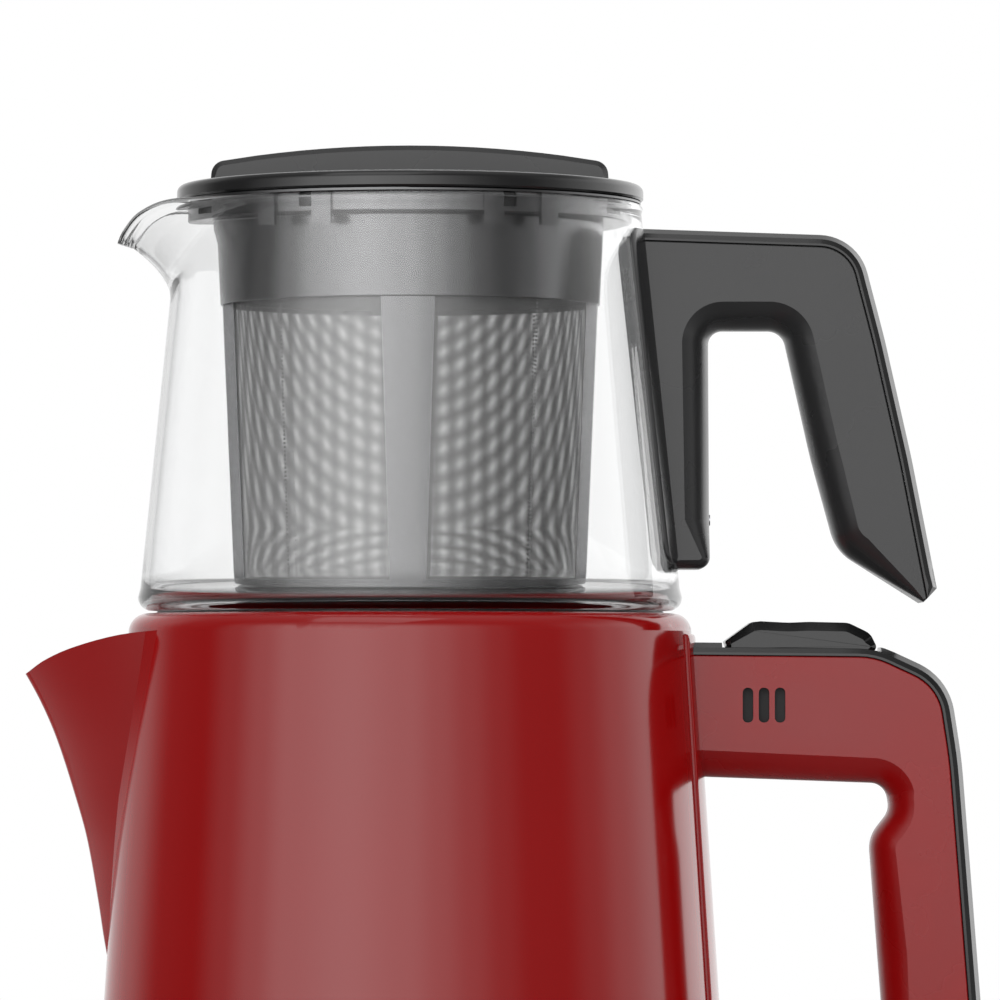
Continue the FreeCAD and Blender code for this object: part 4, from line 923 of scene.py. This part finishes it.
def duct_cover():
    """Raised panel on the shell behind the grip, with soft edges."""
    top = TOP - PANEL_DROP
    length = top - FOOT_TOP
    rows = 40
    columns = 55
    stations = list(PANEL_ENDS)
    stations += [PANEL_INNER + (length - 2 * PANEL_INNER) * k / rows for k in range(rows + 1)]
    stations += [length - end for end in reversed(PANEL_ENDS)]
    points = []
    for depth in stations:
        z = top - depth
        half = PANEL_HALF[0] + (PANEL_HALF[1] - PANEL_HALF[0]) * depth / length
        end_rise = rise_at(min(depth, length - depth))
        for k in range(columns):
            y, inset = edge_station(k, columns, half)
            r = shell_r(z) + min(rise_at(inset), end_rise)
            a = y / shell_r(z)
            points.append((r * math.cos(a), r * math.sin(a), z))
    piece = make_object("duct_cover", points, grid_faces(len(stations), columns))
    fix_normals(piece)
    finish_piece(piece, "kettle", "red_paint", ["duct_panel"], 50)


def rise_at(inset):
    """Height of the panel over the shell at a distance from its border."""
    if inset >= PANEL_RIM:
        return PANEL_T
    return -PANEL_SINK + (PANEL_T + PANEL_SINK) * math.sqrt(max(0.0, 1 - (1 - inset / PANEL_RIM) ** 2))


def edge_station(k, count, half):
    """Place across the panel, and its distance from the nearer border."""
    last = count - 1
    rim = len(PANEL_STEPS)
    if k < rim:
        return -half + PANEL_STEPS[k], PANEL_STEPS[k]
    if last - k < rim:
        return half - PANEL_STEPS[last - k], PANEL_STEPS[last - k]
    inner = half - PANEL_RIM
    t = (k - rim + 1) / (last - 2 * rim + 2)
    y = -inner + 2 * inner * t
    return y, half - abs(y)


# Teapot glass


def lip_excess(z):
    """How far the lip's nose stands out from the cone at a height."""
    if z <= LIP_START:
        return 0.0
    return LIP_OUT * ((z - LIP_START) / LIP_SPAN) ** LIP_POWER


def lip_radius(phi, z, inset):
    """Radius of the glass at an angle from the lip, made smaller by the wall."""
    base = glass_r(z) - inset
    nose = base + lip_excess(z) - inset * LIP_THICK
    if nose <= base + 0.01:
        return base
    opening = math.acos(base / nose)
    phi = math.hypot(phi, NOSE_SOFT) - NOSE_SOFT
    if phi >= opening:
        return base
    return base / math.cos(opening - phi)


def rim_height(phi):
    """Height at which the rim's side view meets the wall, at an angle from the lip."""
    low, high = LIP_LOW, GLASS_H
    for _ in range(24):
        z = (low + high) / 2
        x = -lip_radius(phi, z, 0.0) * math.cos(phi)
        if x > LIP_EDGE[-1][0] or z < level_value(LIP_EDGE, x):
            low = z
        else:
            high = z
    return (low + high) / 2


def glass_profile(phi):
    """Points (r, z) at an angle from the lip, from the bottom's middle over the rim and back."""
    top = rim_height(phi)
    profile = [(0.0, 0.0), (glass_r(0) * 0.5, 0.0), (glass_r(0) - GLASS_CORNER - 2, 0.0)]
    for k in range(7):
        a = math.pi / 2 * k / 6
        r = glass_r(0) - GLASS_CORNER + GLASS_CORNER * math.sin(a)
        profile.append((r, GLASS_CORNER * (1 - math.cos(a))))
    levels = list(GLASS_LEVELS)
    levels += [GLASS_UPPER + (top - 2 * GLASS_RIM - GLASS_UPPER) * k / 12 for k in range(13)]
    for z in levels:
        profile.append((lip_radius(phi, z, 0.0), z))
    out = lip_radius(phi, top - RIM_LEVEL, 0.0)
    inn = lip_radius(phi, top - RIM_LEVEL, GLASS_WALL)
    middle = (out + inn) / 2 + GLASS_BEAD / 2
    half = (out - inn) / 2 + GLASS_BEAD / 2
    for k in range(9):
        a = math.pi * k / 8
        profile.append((middle + half * math.cos(a), top - GLASS_RIM + GLASS_RIM * math.sin(a)))
    for z in reversed(levels):
        if z > GLASS_FLOOR + 4:
            profile.append((lip_radius(phi, z, GLASS_WALL), z))
    r_in = glass_r(GLASS_FLOOR) - GLASS_WALL
    for k in range(6):
        a = math.pi / 2 * k / 5
        r = r_in - GLASS_FOOT_R + GLASS_FOOT_R * math.cos(a)
        profile.append((r, GLASS_FLOOR + GLASS_FOOT_R - GLASS_FOOT_R * math.sin(a)))
    profile += [(r_in * 0.5, GLASS_FLOOR), (0.0, GLASS_FLOOR)]
    return profile


def teapot_glass():
    segments = 216
    points = []
    columns = []
    for i in range(segments):
        phi = 2 * math.pi * i / segments
        nearest = min(phi, 2 * math.pi - phi)
        column = []
        for k, (r, z) in enumerate(glass_profile(nearest)):
            if r == 0.0 and i > 0:
                column.append(columns[0][k])
                continue
            column.append(len(points))
            points.append((-r * math.cos(phi), r * math.sin(phi), z + GLASS_Z))
        columns.append(column)
    faces = []
    for i in range(segments):
        a, b = columns[i], columns[(i + 1) % segments]
        for k in range(len(a) - 1):
            faces.append(tuple(dict.fromkeys((a[k], b[k], b[k + 1], a[k + 1]))))
    piece = make_object("glass_beaker", points, faces)
    fix_normals(piece)
    finish_piece(piece, "teapot", "glass", ["teapot_glass"], 60)
    piece.visible_shadow = False


# Kettle spout


def level_value(levels, x):
    """Smooth value through (place, value) pairs."""
    pairs = sorted(levels)
    count = len(pairs)
    slopes = []
    for i in range(count):
        a, b = pairs[max(i - 1, 0)], pairs[min(i + 1, count - 1)]
        slopes.append((b[1] - a[1]) / (b[0] - a[0]))
    if x <= pairs[0][0]:
        return pairs[0][1] + slopes[0] * (x - pairs[0][0])
    for i in range(count - 1):
        (x0, v0), (x1, v1) = pairs[i], pairs[i + 1]
        if x <= x1:
            h = x1 - x0
            t = (x - x0) / h
            ease = 3 * t * t - 2 * t ** 3
            rise = t * (1 - t) ** 2 * slopes[i] - t * t * (1 - t) * slopes[i + 1]
            return v0 + (v1 - v0) * ease + rise * h
    return pairs[-1][1]


def spout_line(z, inset):
    """Plan points of the spout's half section from its nose to the shell."""
    nose = level_value([(TOP - d, n) for d, n in SPOUT_LEVELS], z) - inset
    nose_r = SPOUT_NOSE_R - inset * SPOUT_NOSE_IN
    root_x, root_y = -SPOUT_ROOT[0], SPOUT_ROOT[1] - inset * SPOUT_ROOT_IN
    run = nose - nose_r - root_x
    gap = math.hypot(run, root_y)
    normal = math.atan2(root_y, -run) - math.acos(min(nose_r / gap, 1.0))
    touch = Vector((nose - nose_r + nose_r * math.cos(normal), nose_r * math.sin(normal)))
    root = Vector((root_x, root_y))
    points = []
    for k in range(11):
        a = normal * k / 10
        points.append(Vector((nose - nose_r + nose_r * math.cos(a), nose_r * math.sin(a))))
    shell = shell_r(z) - SPOUT_SINK
    low, high = 0.0, 1.0
    for _ in range(30):
        t = (low + high) / 2
        if (touch + (root - touch) * t).length > shell:
            low = t
        else:
            high = t
    meet = touch + (root - touch) * low
    if touch.length <= shell:
        meet = touch.copy()
    length = (meet - touch).length
    flare = min(SPOUT_FLARE * min(1.0, length / SPOUT_FLARE_FROM), length * 0.5)
    start = touch + (meet - touch) * ((length - flare) / length if length > 0.01 else 0.0)
    out = Vector((math.cos(normal), math.sin(normal)))
    bulge = SPOUT_BULGE * (start - touch).length ** 2
    for k in range(1, 15):
        t = k / 14
        points.append(touch + (start - touch) * t + out * (4 * bulge * t * (1 - t)))
    angle = math.atan2(meet.y, meet.x) + flare / shell
    end = Vector((math.cos(angle), math.sin(angle))) * shell
    for k in range(1, 5):
        points.append(start + (end - start) * (k / 4))
    return points


def spout_grid(inset):
    """Rows of points from the spout's foot to its cut edge, nose in the middle."""
    low = TOP - SPOUT_FOOT
    rows = 44
    edge = sorted(SPOUT_EDGE)
    columns = len(spout_line(TOP - 30, inset))
    grid = []
    for i in range(rows + 1):
        row = []
        for k in range(-columns + 1, columns):
            z = TOP + edge[0][1]
            for _ in range(12):
                p = spout_line(z, inset)[abs(k)]
                z = TOP + level_value(edge, -p.x)
            z_here = low + (z - low) * (i / rows) ** SPOUT_SPREAD
            p = spout_line(z_here, inset)[abs(k)]
            row.append((-p.x, p.y * (1 if k > 0 else -1 if k < 0 else 0), z_here))
        grid.append(row)
    return grid


def kettle_spout():
    piece = closed_sheet("pouring_spout", spout_grid(0.0), spout_grid(SPOUT_T))
    finish_piece(piece, "kettle", "red_paint", ["kettle_spout"], 9)


# Lid


def lid():
    profile = [(0.0, 0.0), (LID_R - LID_FOOT_EDGE, 0.0), (LID_R, LID_FOOT_EDGE), (LID_R, LID_RIM - LID_EDGE)]
    for k in range(1, 8):
        a = math.pi / 2 * k / 7
        r = LID_R - LID_EDGE + LID_EDGE * math.cos(a)
        profile.append((r, LID_RIM - LID_EDGE + LID_EDGE * math.sin(a)))
    dome_r = (LID_R ** 2 + LID_DOME ** 2) / (2 * LID_DOME)
    for k in range(1, 13):
        r = (LID_R - LID_EDGE - LID_LEDGE) * (1 - k / 12)
        profile.append((r, LID_RIM + LID_DOME - dome_r + math.sqrt(dome_r ** 2 - r ** 2)))
    disc = lathe("lid_disc", [(r, z + LID_Z) for r, z in profile], 160)
    finish_piece(disc, "lid", "black_satin", ["lid_cover"], 40)
    arc = GRIP_RISE - GRIP_ARC
    x = GRIP_HALF - GRIP_LEAN
    corner_z = arc + math.sqrt(GRIP_ARC ** 2 - x ** 2)
    line = [(-GRIP_HALF, GRIP_FOOT, 0, 0.2), (-x, corner_z, GRIP_CORNER, 1)]
    end = [(x, corner_z, GRIP_CORNER, 1), (GRIP_HALF, GRIP_FOOT, 0, 0.2)]
    for k in range(1, 16):
        x = (GRIP_HALF - GRIP_END) * (k / 8 - 1)
        line.append((x, arc + math.sqrt(GRIP_ARC ** 2 - x * x), 0, 1))
    outline = [(x, z, GRIP_BEVEL * edge) for x, z, edge in rounded(line + end, False, 9.0, 4.0)]
    bar = slab("lid_grip", outline, -GRIP_W / 2, GRIP_W / 2, LID_Z, "chamfer")
    finish_piece(bar, "lid", "black_texture", [], 18)


# Strainer


def gauze_cone():
    """Single sheet of gauze inside the bars."""
    segments = 192
    rows = 12
    points = []
    for i in range(rows + 1):
        z = GAUZE_SPAN[0] + (GAUZE_SPAN[1] - GAUZE_SPAN[0]) * i / rows
        r = GAUZE_RADII[0] + (GAUZE_RADII[1] - GAUZE_RADII[0]) * i / rows
        points += ring(r, z + GLASS_Z, segments)
    piece = make_object("gauze_sheet", points, grid_faces(rows + 1, segments, True))
    finish_piece(piece, "strainer", "gauze", ["strainer_mesh"], 60)


def collar_tabs():
    """Upright ribs on the strainer's collar and the rest that the lid's skirt turns in."""
    points = []
    faces = []
    for angle in RIB_ANGLES:
        rib(points, faces, math.radians(angle), RIB_HALF, RIB_R, RIB_Z)
    for angle in REST_ANGLES:
        middle = math.radians(angle)
        for side in (-1, 1):
            rib(points, faces, middle + side * REST_SIDE, REST_SIDE_HALF, REST_R, REST_SIDE_Z)
        rib(points, faces, middle, REST_HALF, REST_R, REST_Z)
    piece = make_object("collar_ribs", points, faces)
    fix_normals(piece)
    finish_piece(piece, "strainer", "strainer_plastic", [], 30)


def rib(points, faces, middle, half, radii, heights, steps=4):
    """Small block on a ring."""
    (r0, r1), (z0, z1) = radii, heights
    start = len(points)
    for k in range(steps + 1):
        a = middle - half + 2 * half * k / steps
        for r, z in ((r0, z0), (r1, z0), (r1, z1), (r0, z1)):
            points.append((r * math.cos(a), r * math.sin(a), z + GLASS_Z))
    for k in range(steps):
        a = start + 4 * k
        for i in range(4):
            j = (i + 1) % 4
            faces.append((a + i, a + j, a + 4 + j, a + 4 + i))
    faces.append((start, start + 3, start + 2, start + 1))
    end = start + 4 * steps
    faces.append((end, end + 1, end + 2, end + 3))


# Stage


def add_camera():
    camera = bpy.data.objects.new("camera", bpy.data.cameras.new("camera"))
    camera.data.lens = LENS
    camera.data.sensor_width = 36.0
    camera.data.clip_end = 50.0
    camera.location = CAMERA_AT
    direction = Vector(CAMERA_LOOK) - Vector(CAMERA_AT)
    camera.rotation_euler = direction.to_track_quat("-Z", "Y").to_euler()
    bpy.context.scene.collection.objects.link(camera)
    bpy.context.scene.camera = camera


def studio_ring(world, x, y, height):
    """Soft boxes that stand round the object, by their brightness in each direction."""
    calc = calculator(world)
    back = calc("MULTIPLY", y, -1.0)
    turn = calc("DIVIDE", calc("ARCTAN2", x, back), 2 * math.pi)
    ramp = add_node(world, "ShaderNodeValToRGB")
    ramp.color_ramp.interpolation = "EASE"
    stops = ramp.color_ramp.elements
    while len(stops) < len(STUDIO):
        stops.new(0.5)
    for stop, (degrees, light) in zip(stops, STUDIO):
        stop.position = degrees / 360 + 0.5
        share = light / STUDIO_PEAK
        stop.color = (share, share, share, 1)
    link(world, calc("ADD", turn, 0.5), ramp.inputs["Fac"])
    ring = calc("MULTIPLY", ramp.outputs["Color"], STUDIO_PEAK * STUDIO_LEVEL)
    return calc("MULTIPLY", ring, map_range(world, height, *RING_FADE, 1.0, 0.0, "SMOOTHSTEP"))


def add_world():
    """White behind the object, dark gaps between soft boxes for reflections, even light for the rest."""
    world = bpy.data.worlds.new("studio")
    bpy.context.scene.world = world
    world.use_nodes = True
    background = world.node_tree.nodes["Background"]
    axes = add_node(world, "ShaderNodeSeparateXYZ")
    link(world, add_node(world, "ShaderNodeTexCoord").outputs["Generated"], axes.inputs[0])
    x, y, z = (axes.outputs[name] for name in "XYZ")
    calc = calculator(world)
    height = calc("ABSOLUTE", z)
    above = calc("MAXIMUM", z, 0.0)
    overhead = calc("MULTIPLY", calc("POWER", above, 3.0), TOP_LIGHT)
    glossy = calc("ADD", studio_ring(world, x, y, height), overhead)
    ambient = calc("ADD", AMBIENT, calc("MULTIPLY", above, AMBIENT_TOP))
    fade = map_range(world, height, *CLEAR_FADE, 1.0, 0.0, "SMOOTHSTEP")
    through = calc("MAXIMUM", fade, CLEAR_LEAST)
    path = add_node(world, "ShaderNodeLightPath")
    camera = path.outputs["Is Camera Ray"]
    diffuse = calc("MINIMUM", path.outputs["Diffuse Depth"], 1.0)
    mirrored = calc("MINIMUM", path.outputs["Glossy Depth"], 1.0)
    straight = calc("SUBTRACT", 1.0, calc("MAXIMUM", diffuse, mirrored))
    transmission = calc("MULTIPLY", path.outputs["Is Transmission Ray"], straight)
    light = calc("MULTIPLY", glossy, calc("SUBTRACT", 1.0, diffuse))
    light = calc("ADD", light, calc("MULTIPLY", ambient, diffuse))
    clear = calc("MAXIMUM", camera, transmission)
    light = calc("MULTIPLY", light, calc("SUBTRACT", 1.0, clear))
    seen = calc("MAXIMUM", camera, calc("MULTIPLY", through, transmission))
    link(world, calc("ADD", light, seen), background.inputs["Strength"])
    background.inputs["Color"].default_value = (1, 1, 1, 1)


def add_lamp():
    data = bpy.data.lights.new("top_box", "AREA")
    data.shape = "RECTANGLE"
    data.size, data.size_y = LAMP_SIZE
    data.energy = LAMP_POWER
    lamp = bpy.data.objects.new("top_box", data)
    lamp.location = LAMP_AT
    lamp.rotation_euler = (Vector(LAMP_LOOK) - Vector(LAMP_AT)).to_track_quat("-Z", "Y").to_euler()
    bpy.context.scene.collection.objects.link(lamp)


def add_floor():
    """Pale round floor that fades into the white background."""
    segments = 96
    points = [(0, 0, -FLOOR_DROP)] + ring(FLOOR_R / MM, -FLOOR_DROP, segments)
    faces = [(0, i + 1, (i + 1) % segments + 1) for i in range(segments)]
    floor = make_object("floor", points, faces)
    material = new_material("floor", (FLOOR_TONE, FLOOR_TONE, FLOOR_TONE, 1), 0.6)
    geometry = add_node(material, "ShaderNodeNewGeometry")
    length = add_node(material, "ShaderNodeVectorMath", operation="LENGTH")
    link(material, geometry.outputs["Position"], length.inputs[0])
    fade = map_range(material, length.outputs["Value"], *FLOOR_FADE)
    path = add_node(material, "ShaderNodeLightPath")
    tone = map_range(material, path.outputs["Is Glossy Ray"], 0.0, 1.0, FLOOR_TONE, FLOOR_MIRRORED)
    link(material, tone, shader_of(material).inputs["Base Color"])
    glow = add_node(material, "ShaderNodeEmission", Strength=1.0)
    mix = add_node(material, "ShaderNodeMixShader")
    output = material.node_tree.nodes["Material Output"]
    link(material, fade, mix.inputs[0])
    link(material, shader_of(material).outputs[0], mix.inputs[1])
    link(material, glow.outputs[0], mix.inputs[2])
    link(material, mix.outputs[0], output.inputs["Surface"])
    floor.data.materials.append(material)


def main():
    scene = bpy.context.scene
    scene.view_settings.view_transform = "Standard"
    add_camera()
    add_world()
    add_lamp()
    add_floor()
    dress_frame()
    teapot_glass()
    teapot_grip()
    kettle_grip()
    rocker_cap()
    duct_cover()
    kettle_spout()
    lid()
    collar_tabs()
    gauze_cone()
    saddle()


main()
